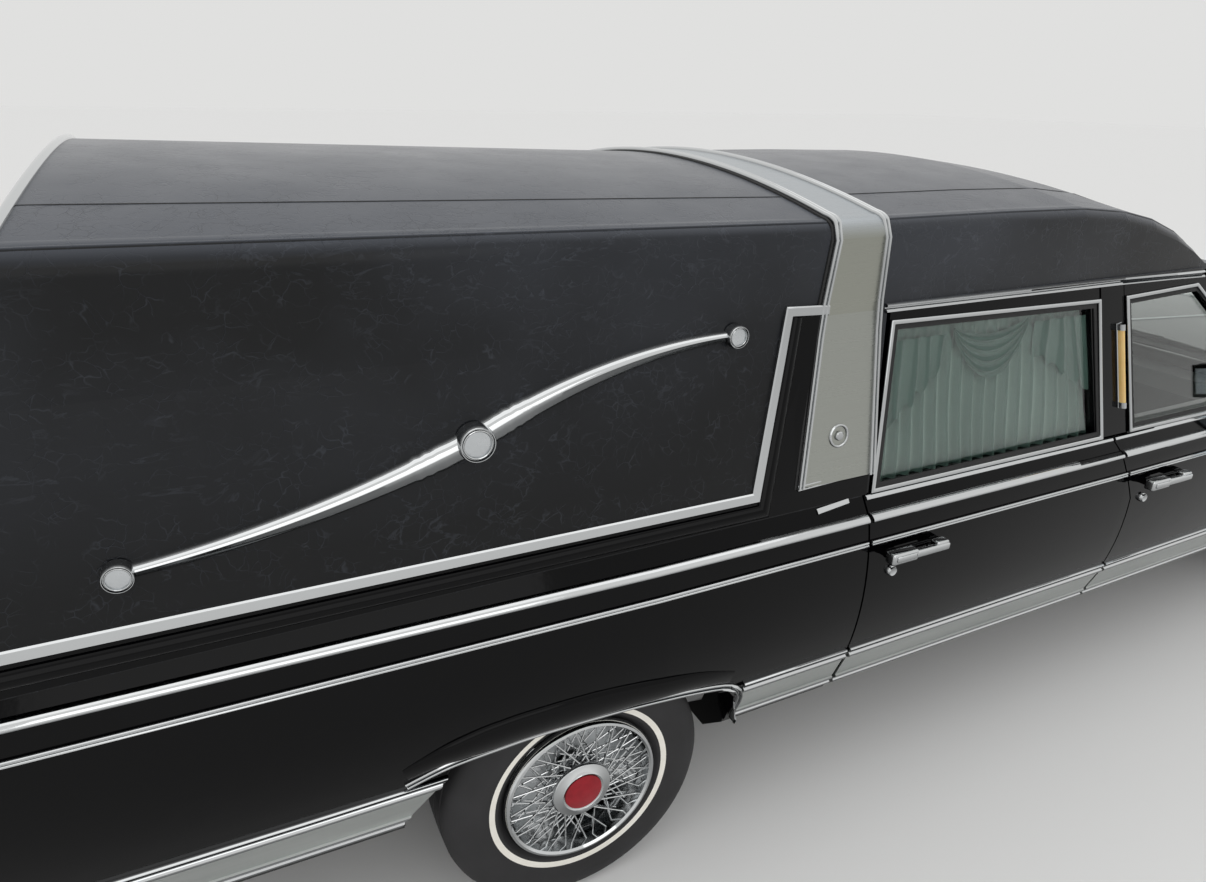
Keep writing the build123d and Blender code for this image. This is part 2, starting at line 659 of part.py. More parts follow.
for side in (-1, 1):
    lo, hi = sorted((side * 400, side * 765))
    beam += block(front_axle_x - 25, front_axle_x + 25, lo, hi, arm_low, arm_low + arm_wall)
    lo, hi = sorted((side * 385, side * 445))
    tower = block(front_axle_x - 40, front_axle_x + 40, lo, hi, rail_top, arm_high + arm_wall)
    lo, hi = sorted((side * 400, side * 765))
    tower += block(front_axle_x - 25, front_axle_x + 25, lo, hi, arm_high, arm_high + arm_wall)
    beam = Compound(beam.solids() + tower.solids())
kingpins = [Pos(front_axle_x, y, axle_z) for y in (-kingpin_y, kingpin_y)]
arms = [solid - kingpins[0] * pin_hole - kingpins[1] * pin_hole for solid in beam.solids()]
save(Compound([arm.solid() for arm in arms]), "front_suspension")
knuckle = kingpins[0] * Box(60, 38, 2 * knuckle_half)
knuckle += kingpins[0] * Cylinder(pin, 2 * knuckle_half + 44)
spindle_length = front_wheel_y + 44 - kingpin_y
spindle = Rot(90, 0, 0) * Cylinder(spindle_radius, spindle_length)
knuckle += kingpins[0] * Pos(0, -spindle_length / 2, 0) * spindle
save(knuckle, "knuckle_right")
save(mirrored(knuckle), "knuckle_left")
axle = rear_hub * (Cylinder(40, 1500) + Cylinder(120, 170))
axle += rear_hub * Cylinder(spindle_radius, 2 * (rear_wheel_y + 44))
for side in (-1, 1):
    axle += Pos(rear_axle_x, side * 757, axle_z) * Rot(90, 0, 0) * Cylinder(70, 35)
    axle += Pos(rear_axle_x, side * 415, (axle_z + 470) / 2) * Cylinder(48, 470 - axle_z - 0.6)
shaft_length = 1580 - rear_axle_x
axle += Pos(rear_axle_x + shaft_length / 2, 0, axle_z) * Rot(0, 90, 0) * Cylinder(28, shaft_length - 1)
save(axle, "rear_axle")
save(block(1580, 2280, -220, 220, 300, 850), "engine_block")
save(block(-2760, -2140, -360, 360, 420, 599.7), "fuel_tank")
pipe = Pos(-700, -290, 261.7) * Rot(0, 90, 0) * Cylinder(28, 4400) + Pos(600, -290, 240) * Box(600, 200, 90)
save(pipe, "exhaust")
print("chassis built")

# Cabin: front bench, dashboard with the steering wheel, casket deck
seat_foot = floor_high + running_fit
seat_outline = [(980, seat_foot), (1000, 590), (960, 630), (500, 600), (400, 1100), (290, 1110),
                (340, seat_foot)]
seat = side_prism(seat_outline, -seat_half, seat_half)
for y in (-380, 380):
    seat += block(305, 395, y - 130, y + 130, 1090, 1220)
save(seat, "front_seat")
dash_x, dash_top = 1488 - running_fit, 955 - running_fit
dash_outline = [(dash_x, 640), (1260, 640), (1190, 760), (1190, 900), (1240, dash_top), (dash_x, dash_top)]
dash = side_prism(dash_outline, -770, 770)
column = Pos(1130, 400, 865) * Rot(0, -65, 0) * Cylinder(22, 260)
ring = Cylinder(202, 22) - Cylinder(180, 24) + Box(24, 370, 14) + Cylinder(50, 30)
ring = Pos(1040, 400, 907) * Rot(0, -65, 0) * ring
save(dash + column + ring, "dashboard")
deck_wall = 30
deck = block(-690, 200, -deck_half, deck_half, seat_foot, deck_top)
inner_deck = deck_half - deck_wall
deck -= block(-690 + deck_wall, 200 - deck_wall, -inner_deck, inner_deck, 300, deck_top - 25)
deck += block(-2840, -690, -deck_half, deck_half, rear_floor_high + running_fit, deck_top)
for i in range(5):
    for y in (-330, 330):
        deck += Pos(-2760 + 620 * i, y, deck_top - 1) * Rot(90, 0, 0) * Cylinder(22, 160)
save(deck, "casket_deck")

# Landau bars: a rear and a front button, a centre medallion and two bowed arms
side_lean = atan2(side_belt[0] - side_drip[0], drip_z - belt_z)


def side_y(z):
    """Half width of the glasshouse at height z."""
    return side_belt[0] - (z - belt_z) * (side_belt[0] - side_drip[0]) / (drip_z - belt_z)


def on_side(x, z, proud):
    """A frame on the right-hand side panel, its z outward."""
    origin = (x, -side_y(z) - proud * cos(side_lean), z + proud * sin(side_lean))
    return Plane(origin=origin, x_dir=(1, 0, 0), z_dir=(0, -cos(side_lean), sin(side_lean)))


def landau_bar():
    """The S-shaped bar with its three discs, flat-backed on the side panel."""
    mid = landau_points[1]
    end_half, mid_half = landau_half
    local = [(x - mid[0], (z - mid[1]) / cos(side_lean)) for x, z in landau_points]
    arms = []
    for (x0, v0), (x1, v1), bow in zip(local, local[1:], landau_bows):
        xm, vm = (x0 + x1) / 2, (v0 + v1) / 2
        top = ThreePointArc((x0, v0 + end_half), (xm, vm + bow + mid_half), (x1, v1 + mid_half))
        under = ThreePointArc((x1, v1 - mid_half), (xm, vm + bow - mid_half), (x0, v0 - end_half))
        outline = top + Line(top @ 1, under @ 0) + under + Line(under @ 1, top @ 0)
        arms.append(extrude(make_face(outline), amount=landau_depth))
    bar = arms[0] + arms[1]
    for (x, v), radius in zip(local, landau_radii):
        bar += Pos(x, v, button_depth / 2) * Cylinder(radius, button_depth)
    return on_side(mid[0], mid[1], 0).location * bar - upper_body(-running_fit)


save(both(landau_bar()), "landau_bars")

# Lamps on the middle posts, each a slim bar that leans with its post
lamp_low, lamp_high = (273, 1110), (223, 1347)
lamp_width, lamp_depth = 26, 22
lamp_mid = ((lamp_low[0] + lamp_high[0]) / 2, (lamp_low[1] + lamp_high[1]) / 2)
lamp_rise = (lamp_high[1] - lamp_low[1]) / cos(side_lean)
lamp_turn = degrees(atan2(lamp_low[0] - lamp_high[0], lamp_rise))
post_lamp = Rot(0, 0, lamp_turn) * Pos(0, 0, lamp_depth / 2) * Box(lamp_width, lamp_rise, lamp_depth)
save(both(on_side(*lamp_mid, running_fit).location * post_lamp), "post_lamps")

# Wheels with wire covers, and tyres
hub_bore = spindle_radius + running_fit
rim_outline = [(hub_bore, -30), (75, -30), (75, 25), (187, 35),
               (187, -rim_half), (rim_flange_radius, -rim_half),
               (rim_flange_radius, -rim_half + 4), (rim_seat_radius, -rim_half + 7),
               (rim_seat_radius, rim_half - 7),
               (rim_flange_radius, rim_half - 4), (204, 114), (186, 108), (186, 47), (cap_radius, 40),
               (cap_radius, 104), (disc_radius, 118), (0, 118), (0, 50), (hub_bore, 50)]


def spoke(turn, lean, depth):
    """A square wire from the cap out to the cover's ring, turned by turn and leaning by lean."""
    foot = Vector(78 * cos(turn), -depth - 6, 78 * sin(turn))
    tip = Vector(188 * cos(turn + lean), -depth, 188 * sin(turn + lean))
    wire = Plane(origin=foot, z_dir=tip - foot) * Pos(0, 0, (tip - foot).length / 2)
    return wire * Box(spoke_size, spoke_size, (tip - foot).length)


wires = []
for i in range(spoke_count):
    turn = 2 * pi * i / spoke_count
    wires += [spoke(turn, spoke_lean, 96), spoke(turn, -spoke_lean, 86)]
wheel_face = make_face(Polyline(*[(r, -v, 0) for r, v in rim_outline], close=True))
wire_wheel = revolve(wheel_face, axis=Axis.Y).fuse(*wires)


def tyre(x, y):
    """A right-hand tyre seated on the rim between its flanges."""
    seat, lip, half = rim_seat_radius + running_fit, rim_half - 7 - running_fit, tyre_width / 2
    outline = [(seat, lip), (tyre_radius, half), (tyre_radius, -half), (seat, -lip)]
    face = make_face(Polyline(*[(r, -v, 0) for r, v in outline], close=True))
    return Pos(x, -y, axle_z) * revolve(face, axis=Axis.Y)


for end, x, y in (("front", front_axle_x, front_wheel_y), ("rear", rear_axle_x, rear_wheel_y)):
    for side, turn in (("right", lambda s: s), ("left", mirrored)):
        save(turn(Pos(x, -y, axle_z) * wire_wheel), f"wheel_{end}_{side}")
        save(turn(tyre(x, y)), f"tyre_{end}_{side}")
print("wheels built")
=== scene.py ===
import json
import math
import bpy
from mathutils import Matrix, Vector
from mathutils.bvhtree import BVHTree


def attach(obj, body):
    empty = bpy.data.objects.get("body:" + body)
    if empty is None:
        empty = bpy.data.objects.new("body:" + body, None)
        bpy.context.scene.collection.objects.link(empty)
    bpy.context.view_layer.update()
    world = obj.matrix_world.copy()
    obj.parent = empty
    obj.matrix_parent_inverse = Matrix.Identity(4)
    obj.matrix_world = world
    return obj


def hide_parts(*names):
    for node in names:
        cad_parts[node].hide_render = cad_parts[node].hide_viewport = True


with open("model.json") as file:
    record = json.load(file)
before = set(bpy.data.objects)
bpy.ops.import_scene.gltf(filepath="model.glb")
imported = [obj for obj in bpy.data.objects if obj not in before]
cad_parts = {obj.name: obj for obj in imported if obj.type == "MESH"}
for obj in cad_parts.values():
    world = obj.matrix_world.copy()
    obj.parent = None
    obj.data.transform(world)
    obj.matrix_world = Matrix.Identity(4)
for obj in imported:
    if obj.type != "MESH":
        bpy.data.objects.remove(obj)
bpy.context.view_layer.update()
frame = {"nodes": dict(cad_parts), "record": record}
nodes = frame["nodes"]


# Select, finish and mirror a piece
def pick(*objects):
    if bpy.context.mode != "OBJECT":
        bpy.ops.object.mode_set(mode="OBJECT")
    bpy.ops.object.select_all(action="DESELECT")
    for obj in objects:
        obj.select_set(True)
    if objects:
        bpy.context.view_layer.objects.active = objects[-1]


def settle(obj, name, body, material, smooth=35):
    pick(obj)
    if obj.type == "CURVE":
        bpy.ops.object.convert(target="MESH")
        obj = bpy.context.object
    for modifier in list(obj.modifiers):
        bpy.ops.object.modifier_apply(modifier=modifier.name)
    bpy.ops.object.transform_apply(location=True, rotation=True, scale=True)
    bpy.ops.object.mode_set(mode="EDIT")
    bpy.ops.mesh.select_all(action="SELECT")
    bpy.ops.mesh.remove_doubles(threshold=0.00002)
    bpy.ops.mesh.delete_loose(use_verts=True, use_edges=True, use_faces=False)
    bpy.ops.mesh.select_all(action="SELECT")
    bpy.ops.mesh.normals_make_consistent(inside=False)
    bpy.ops.object.mode_set(mode="OBJECT")
    bpy.ops.object.shade_smooth_by_angle(angle=math.radians(smooth))
    obj.name = name
    obj.data.name = name
    obj.data.materials.clear()
    obj.data.materials.append(material)
    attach(obj, body)
    return obj


def mirrorTwin(obj, name, body):
    pick(obj)
    bpy.ops.object.duplicate()
    twin = bpy.context.object
    twin.parent = None
    bpy.ops.object.mode_set(mode="EDIT")
    bpy.ops.mesh.select_all(action="SELECT")
    bpy.ops.transform.resize(value=(1, -1, 1), center_override=(0, 0, 0))
    bpy.ops.mesh.normals_make_consistent(inside=False)
    bpy.ops.object.mode_set(mode="OBJECT")
    twin.name = name
    twin.data.name = name
    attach(twin, body)
    return twin


def settlePair(obj, name, body, material, smooth=35):  # the right-hand piece and its left-hand twin
    piece = settle(obj, name + "Right", body, material, smooth)
    return piece, mirrorTwin(piece, name + "Left", body.replace("right", "left"))


def join(objects):
    pick(*objects)
    bpy.ops.object.join()
    return bpy.context.object


def gather(parts, name, body, material, pair=True):  # several shapes become one piece
    whole = join([settle(part, name, body, material) for part in parts])
    place = settlePair if pair else settle
    return place(whole, name, body, material)


def repaint(piece, material, test):  # faces whose middle passes the test take another material
    piece.data.materials.append(material)
    for face in piece.data.polygons:
        if test(face.center):
            face.material_index = len(piece.data.materials) - 1


# Shapes that most pieces start from
def outline(corners, push, rim=0, bevel=0, segments=3):  # pushed into a plate or, with rim, a frame
    pick()
    bpy.ops.mesh.primitive_circle_add(vertices=len(corners), radius=1, fill_type="NGON")
    obj = bpy.context.object
    for vertex, corner in zip(obj.data.vertices, corners):
        vertex.co = corner
    bpy.ops.object.mode_set(mode="EDIT")
    bpy.ops.mesh.select_all(action="SELECT")
    if rim:
        bpy.ops.mesh.inset(thickness=rim, use_boundary=True)
        bpy.ops.mesh.delete(type="FACE")
        bpy.ops.mesh.select_all(action="SELECT")
    bpy.ops.mesh.extrude_region_move(TRANSFORM_OT_translate={"value": push})
    bpy.ops.object.mode_set(mode="OBJECT")
    return soften(obj, bevel, segments) if bevel else obj


def soften(obj, width, segments=3):
    edge = obj.modifiers.new("edge", "BEVEL")
    edge.width = width
    edge.segments = segments
    edge.limit_method = "ANGLE"
    edge.angle_limit = math.radians(35)
    return obj


def brick(low, high, bevel=0.0, segments=3):
    pick()
    middle = [(a + b) / 2 for a, b in zip(low, high)]
    size = [b - a for a, b in zip(low, high)]
    bpy.ops.mesh.primitive_cube_add(size=1, location=middle, scale=size)
    obj = bpy.context.object
    bpy.ops.object.transform_apply(location=True, rotation=True, scale=True)
    return soften(obj, bevel, segments) if bevel else obj


def bead(points, radius, closed=False, rounds=3):  # a round bar or wire along a line of points
    pick()
    bpy.ops.curve.primitive_bezier_curve_add()
    obj = bpy.context.object
    obj.data.splines.clear()
    line = obj.data.splines.new("POLY")
    line.points.add(len(points) - 1)
    for point, place in zip(line.points, points):
        point.co = (*place, 1)
    line.use_cyclic_u = closed
    obj.data.bevel_depth = radius
    obj.data.bevel_resolution = rounds
    obj.data.use_fill_caps = True
    return obj


def turned(profile, steps=72):  # spun round the Y axis from (radius, outward) points; outward is -Y
    pick()
    bpy.ops.mesh.primitive_circle_add(vertices=len(profile), radius=1, fill_type="NOTHING")
    obj = bpy.context.object
    for vertex, (radius, outward) in zip(obj.data.vertices, profile):
        vertex.co = (radius, -outward, 0)
    bpy.ops.object.mode_set(mode="EDIT")
    bpy.ops.mesh.select_all(action="SELECT")
    bpy.ops.mesh.spin(steps=steps, angle=math.tau, center=(0, 0, 0), axis=(0, 1, 0))
    bpy.ops.mesh.select_all(action="SELECT")
    bpy.ops.mesh.remove_doubles(threshold=0.00002)
    bpy.ops.object.mode_set(mode="OBJECT")
    return obj


def lattice(columns, rows, placeAt, closed=False):  # a grid whose points come from (u, v) shares
    pick()
    bpy.ops.mesh.primitive_grid_add(x_subdivisions=columns, y_subdivisions=rows, size=2)
    obj = bpy.context.object
    for vertex in obj.data.vertices:
        vertex.co = placeAt((vertex.co.x + 1) / 2, (vertex.co.y + 1) / 2)
    if closed:  # the profile's ends meet, and the two open ends are filled
        bpy.ops.object.mode_set(mode="EDIT")
        bpy.ops.mesh.select_all(action="SELECT")
        bpy.ops.mesh.remove_doubles(threshold=0.00002)
        bpy.ops.mesh.fill_holes(sides=0)
        bpy.ops.object.mode_set(mode="OBJECT")
    return obj


def rounded(width, proud, steps=6, foot=-0.002):  # a closed half-round section of (across, outward) points
    half = width / 2
    turns = [math.pi * i / steps for i in range(steps + 1)]
    arc = [(-half * math.cos(turn), proud * math.sin(turn)) for turn in turns]
    return [(-half, foot)] + arc + [(half, foot), (-half, foot)]


def flatBar(width, proud, edge=0.002, foot=-0.002):
    half = width / 2
    flat, low = half - edge, proud - edge
    return [(-half, foot), (-half, low), (-flat, proud), (flat, proud),
            (half, low), (half, foot), (-half, foot)]


def twinRidge(width, proud, valley=0.2, foot=-0.002):  # two rounded ridges with a groove between
    ridge = [(share * width, proud * height) for share, height in
             ((-0.5, 0), (-0.46, 0.7), (-0.36, 1), (-0.22, 1), (-0.12, 0.7), (-0.07, valley), (0.07, valley),
              (0.12, 0.7), (0.22, 1), (0.36, 1), (0.46, 0.7), (0.5, 0))]
    return [(-width / 2, foot)] + ridge + [(width / 2, foot), (-width / 2, foot)]


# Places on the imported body
def treeOf(names):
    points, faces = [], []
    for name in names:
        mesh = nodes[name].data
        start = len(points)
        points += [v.co.copy() for v in mesh.vertices]
        faces += [[start + i for i in p.vertices] for p in mesh.polygons]
    return BVHTree.FromPolygons(points, faces)


skinTree = treeOf(["front_door_right", "rear_door_right", "quarter_panels", "front_fenders", "vinyl_roof",
                   "roof_band", "pillars"])
skin = {
    "shifts": (0, 0.01, 0.02, 0.04, 0.06, 0.09, 0.12, 0.16, 0.2, -0.01, -0.02, -0.04),
    "leastHalf": 0.6, "half": 0.9, "roofZ": 1.7,
}


def sideY(x, z):  # half width of the body's right side at x and z, or just above it over a wheel opening
    for shift in skin["shifts"]:
        hit = skinTree.ray_cast(Vector((x, -2, z + shift)), Vector((0, 1, 0)))[0]
        if hit and hit.y < -skin["leastHalf"]:
            return -hit.y
    return skin["half"]


def onSide(x, z, lift=0.0):
    return Vector((x, -sideY(x, z) - lift, z))


def roofZ(x, y):
    hit = skinTree.ray_cast(Vector((x, y, 3)), Vector((0, 0, -1)))[0]
    return hit.z if hit else skin["roofZ"]


def stations(start, end, step=0.2):
    count = max(1, round(abs(end - start) / step))
    return [start + (end - start) * i / count for i in range(count + 1)]


def onRing(centre, radius, turn):
    return centre[0] + radius * math.cos(turn), centre[1] + radius * math.sin(turn)


def blendFour(p, q, r, s, t):  # Catmull-Rom value between q and r
    return q + 0.5 * t * (r - p + t * (2 * p - 5 * q + 4 * r - s + t * (3 * (q - r) + s - p)))


def eased(path, steps=4):  # a smooth line through the points of a path
    line = []
    last = len(path) - 1
    for i in range(last):
        near = [path[min(max(j, 0), last)] for j in (i - 1, i, i + 1, i + 2)]
        for step in range(steps):
            line.append(tuple(blendFour(*values, step / steps) for values in zip(*near)))
    return line + [path[-1]]


def strip(path, profile, lift=0.0, sizeAt=None):  # a moulded strip along a side-view path, on the side
    lines = []
    last = len(path) - 1
    for i, (x, z) in enumerate(path):
        before, after = path[max(i - 1, 0)], path[min(i + 1, last)]
        into, out = Vector((x - before[0], z - before[1])), Vector((after[0] - x, after[1] - z))
        into = into.normalized() if into.length else out.normalized()
        out = out.normalized() if out.length else into
        along = (into + out).normalized()
        mitre = 1 / max(0.4, math.cos(into.angle(along)))
        wide, tall = sizeAt(i / last) if sizeAt else (1, 1)
        stepX, stepZ = -along.y * wide * mitre, along.x * wide * mitre
        lines.append([(x + across * stepX, z + across * stepZ, proud * tall) for across, proud in profile])

    def placeAt(u, v):
        x, z, proud = lines[round(u * last)][round(v * (len(profile) - 1))]
        return onSide(x, z, proud + lift)
    return lattice(last, len(profile) - 1, placeAt, True)


# The leaning rear face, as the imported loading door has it: u to the right, v up the face, w out of it
rearFace = {"x": -3.040, "z": 0.600, "lean": math.atan2(0.520, 1.100)}


def onRear(u, v, w=0.0):
    sine, cosine = math.sin(rearFace["lean"]), math.cos(rearFace["lean"])
    return Vector((rearFace["x"] + v * sine - w * cosine, -u, rearFace["z"] + v * cosine + w * sine))


def rearX(z):
    return rearFace["x"] + (z - rearFace["z"]) * math.tan(rearFace["lean"])


def grown(a0, a1, b0, b1, around):  # the four corners of a rectangle, grown by around on every side
    a0, a1, b0, b1 = a0 - around, a1 + around, b0 - around, b1 + around
    return (a0, b0), (a1, b0), (a1, b1), (a0, b1)


def rearPlate(area, low, high, rim=0, bevel=0.002, around=0.0):  # a plate or frame on the rear face
    corners = [onRear(u, v, low) for u, v in grown(*area, around)]
    return outline(corners, onRear(0, 0, high) - onRear(0, 0, low), rim, bevel)


def endFrame(x, depth, area, rim=0, bevel=0.003, around=0.0):  # a plate or frame across the car
    corners = [(x, y, z) for y, z in grown(*area, around)]
    return outline(corners, (depth, 0, 0), rim, bevel)


# Materials
def hexColour(code):
    channels = [int(code[i:i + 2], 16) / 255 for i in (1, 3, 5)]
    return [c / 12.92 if c <= 0.04045 else ((c + 0.055) / 1.055) ** 2.4 for c in channels] + [1]


def addNode(material, kind, inputs=None, links=None, **settings):
    node = material.node_tree.nodes.new(kind)
    for key, value in settings.items():
        setattr(node, key, value)
    for socket, value in (inputs or {}).items():
        node.inputs[socket].default_value = value
    for socket, source in (links or {}).items():
        material.node_tree.links.new(source, node.inputs[socket])
    return node


def finish(name, slot, colour, roughness, metallic=0.0, **extra):
    material = bpy.data.materials.new(name)
    material.use_nodes = True
    shader = material.node_tree.nodes["Principled BSDF"]
    shader.inputs["Base Color"].default_value = hexColour(colour)
    shader.inputs["Roughness"].default_value = roughness
    shader.inputs["Metallic"].default_value = metallic
    for socket, value in extra.items():
        shader.inputs[socket.replace("_", " ")].default_value = value
    if slot:
        finishSlots[name] = slot
    return material


def feed(material, socket, source):
    material.node_tree.links.new(source, material.node_tree.nodes["Principled BSDF"].inputs[socket])


def objectPlace(material, scale=(1, 1, 1)):  # Object coordinates in metres, stretched by scale
    place = addNode(material, "ShaderNodeTexCoord").outputs["Object"]
    return addNode(material, "ShaderNodeMapping", {"Scale": scale}, {"Vector": place}).outputs[0]


def maths(material, operation, first, second=0.0):  # each is a number or another node's socket
    node = addNode(material, "ShaderNodeMath", operation=operation)
    for socket, value in zip(node.inputs, (first, second)):
        if isinstance(value, float):
            socket.default_value = value
        else:
            material.node_tree.links.new(value, socket)
    return node.outputs[0]


def noise(material, size, detail=3, scale=(1, 1, 1), **inputs):  # size of a mottle in metres
    values = {"Scale": 1 / size, "Detail": detail, **inputs}
    place = objectPlace(material, scale)
    return addNode(material, "ShaderNodeTexNoise", values, {"Vector": place}).outputs[0]


def pattern(material, kind, size, inputs=None, **settings):  # a regular pattern with its size in metres
    values = {"Scale": 1 / size, **(inputs or {})}
    return addNode(material, kind, values, {"Vector": objectPlace(material)}, **settings).outputs


def ranged(material, source, low, high, start=0.3, end=0.7):  # spreads a 0 to 1 pattern between two values
    values = {"From Min": start, "From Max": end, "To Min": low, "To Max": high}
    return addNode(material, "ShaderNodeMapRange", values, {"Value": source}).outputs[0]


def relief(material, height, depth, strength=1.0):  # height, 0 to 1, times depth in metres
    values = {"Distance": depth, "Strength": strength}
    bump = addNode(material, "ShaderNodeBump", values, {"Height": height})
    feed(material, "Normal", bump.outputs[0])


def tinted(material, source, dark, pale):  # a pattern between two colours
    ends = {6: hexColour(dark), 7: hexColour(pale)}  # the node's two colour sockets
    mix = addNode(material, "ShaderNodeMix", ends, {0: source}, data_type="RGBA")
    feed(material, "Base Color", mix.outputs[2])


def facingUp(material, low, high):  # 0 where the normal's z is under low, 1 where it is over high
    normal = addNode(material, "ShaderNodeNewGeometry").outputs["Normal"]
    slope = addNode(material, "ShaderNodeSeparateXYZ", {}, {0: normal}).outputs[2]
    return ranged(material, slope, 0.0, 1.0, low, high)


finishSlots = {}

# Cellulose enamel, sprayed and polished: black and mirror-like, with a faint orange peel
glossPaint = finish("glossBlackEnamel", "body_paint", "#030304", 0.07, Specular_IOR_Level=0.1,
                    Coat_Weight=0.4, Coat_Roughness=0.02, Coat_IOR=1.2)
relief(glossPaint, noise(glossPaint, 0.012, 2), 0.0001)
feed(glossPaint, "Roughness", ranged(glossPaint, noise(glossPaint, 0.3, 4), 0.05, 0.1))

# Chromed steel and die-castings: bright neutral mirror with slight waves from polishing; painted light in its
# colour, paler on upward faces as a painted reflection and darker on downward faces as painted shade
brightChrome = finish("brightChromePlate", "bright_chrome", "#C9CBCC", 0.07, 1.0)
tinted(brightChrome, facingUp(brightChrome, -0.55, 0.45), "#3E4143", "#DDDFE0")
relief(brightChrome, noise(brightChrome, 0.05, 1), 0.0003)
feed(brightChrome, "Roughness", ranged(brightChrome, noise(brightChrome, 0.08), 0.05, 0.12))

# Stainless sheet, brushed round the band: grain 0.5 mm apart, drawn at 2 mm so that it shows
brushedSteel = finish("brushedStainless", "brushed_band", "#A9AAA4", 0.3, 1.0)
grainLines = noise(brushedSteel, 1.0, 4, (3, 1 / 0.0022, 1 / 0.0022))
# painted reflection: upward faces paler and bluer, the sides darker and greener
tinted(brushedSteel, facingUp(brushedSteel, 0.0, 0.8), "#96978E", "#BBC0C4")
relief(brushedSteel, grainLines, 0.00005)
feed(brushedSteel, "Roughness", ranged(brushedSteel, grainLines, 0.24, 0.4))

# Extruded aluminium, satin anodised: pale grey, rolled grain along its length
satinAluminium = finish("satinAnodisedAluminium", "bright_chrome", "#9FA3A1", 0.32, 1.0)
tinted(satinAluminium, noise(satinAluminium, 0.4, 4, (1, 1, 6)), "#A2A6A4", "#C3C6C4")
rolled = noise(satinAluminium, 1.0, 4, (3, 1 / 0.002, 1 / 0.0022))
relief(satinAluminium, rolled, 0.00004)
feed(satinAluminium, "Roughness", ranged(satinAluminium, rolled, 0.28, 0.4))

# EPDM rubber, extruded: dull black with dust in its pores
sealRubber = finish("sealRubber", None, "#0C0C0D", 0.6)
feed(sealRubber, "Roughness", ranged(sealRubber, noise(sealRubber, 0.004), 0.5, 0.7))
relief(sealRubber, noise(sealRubber, 0.002), 0.0001)

# Tyre rubber, moulded: charcoal and matt, a little browner where it has weathered
tyreRubber = finish("tyreRubber", "tyre_rubber", "#1D1D1E", 0.72)
tinted(tyreRubber, noise(tyreRubber, 0.08, 5), "#161617", "#29282A")
relief(tyreRubber, noise(tyreRubber, 0.003), 0.0003)
whitewallRubber = finish("whitewallRubber", None, "#D9D3C3", 0.6)
tinted(whitewallRubber, noise(whitewallRubber, 0.03, 5), "#DEDACE", "#EFECE5")
relief(whitewallRubber, noise(whitewallRubber, 0.003), 0.0002)

# Toughened glass with a faint green tint, nearly clean: streaks from wiping show in its gloss
windowGlass = finish("tintedSafetyGlass", "window_glass", "#F3F7F5", 0.0, Transmission_Weight=1.0, IOR=1.45)
feed(windowGlass, "Roughness", ranged(windowGlass, noise(windowGlass, 0.12, 5), 0.0, 0.02, 0.45, 0.8))
# Pressed lamp glass: clear with upright flutes 8 mm apart
lampGlass = finish("pressedLampGlass", "lamp_glass", "#F2F4F5", 0.04, Transmission_Weight=0.55, IOR=1.5)
flutes = pattern(lampGlass, "ShaderNodeTexWave", 0.05, bands_direction="Y")
relief(lampGlass, flutes[1], 0.002)
# Acrylic lenses, moulded with a grid of small prisms 6 mm apart
tailLens = finish("redAcrylicLens", "tail_lens", "#9A0C0E", 0.12, Transmission_Weight=0.2, IOR=1.49)
prisms = pattern(tailLens, "ShaderNodeTexVoronoi", 0.006, {"Randomness": 0.0})
relief(tailLens, prisms[0], 0.0012)
amberLens = finish("creamAcrylicLens", "amber_lens", "#D9B26A", 0.25, Subsurface_Weight=0.1)
tinted(amberLens, noise(amberLens, 0.05, 2), "#CFA254", "#E8CB8E")
# Enamelled disc and pressed, silvered bowl of the wheel cover
redEnamel = finish("redEnamelDisc", None, "#8C0F1C", 0.2, Specular_IOR_Level=0.3)
tinted(redEnamel, noise(redEnamel, 0.02, 3), "#7A0A16", "#9A1624")
silveredBowl = finish("silveredPressing", "bright_chrome", "#BFC2C4", 0.28, 1.0)
feed(silveredBowl, "Roughness", ranged(silveredBowl, noise(silveredBowl, 0.02), 0.2, 0.4))
# Mirror glass: silvered, a little blue
mirrorGlass = finish("silveredMirrorGlass", None, "#C9D4DA", 0.01, 1.0)
feed(mirrorGlass, "Roughness", ranged(mirrorGlass, noise(mirrorGlass, 0.05), 0.0, 0.02))

# Seat leather: fine pebble grain 4 mm across, mottled darker and paler
seatLeather = finish("greyGreenSeatLeather", "seat_leather", "#5B6661", 0.5)
pebble = pattern(seatLeather, "ShaderNodeTexVoronoi", 0.004)
relief(seatLeather, pebble[0], 0.0004)
tinted(seatLeather, noise(seatLeather, 0.15, 5), "#4A5551", "#69746E")
# Moulded vinyl of dash and door cards: fine grain
dashPlastic = finish("mouldedDashVinyl", "dash_plastic", "#232A28", 0.6)
relief(dashPlastic, noise(dashPlastic, 0.003), 0.0003)
tinted(dashPlastic, noise(dashPlastic, 0.1), "#1D2321", "#2C3432")
# Varnished oak boards of the deck: grain drawn out along the car
deckWood = finish("varnishedDeckOak", "deck_wood", "#6B4227", 0.3, Coat_Weight=0.5)
boards = noise(deckWood, 0.03, 8, (0.06, 1, 1), Distortion=0.6)
tinted(deckWood, ranged(deckWood, boards, 0.0, 1.0, 0.35, 0.65), "#4E2D19", "#84573A")
relief(deckWood, boards, 0.0003)
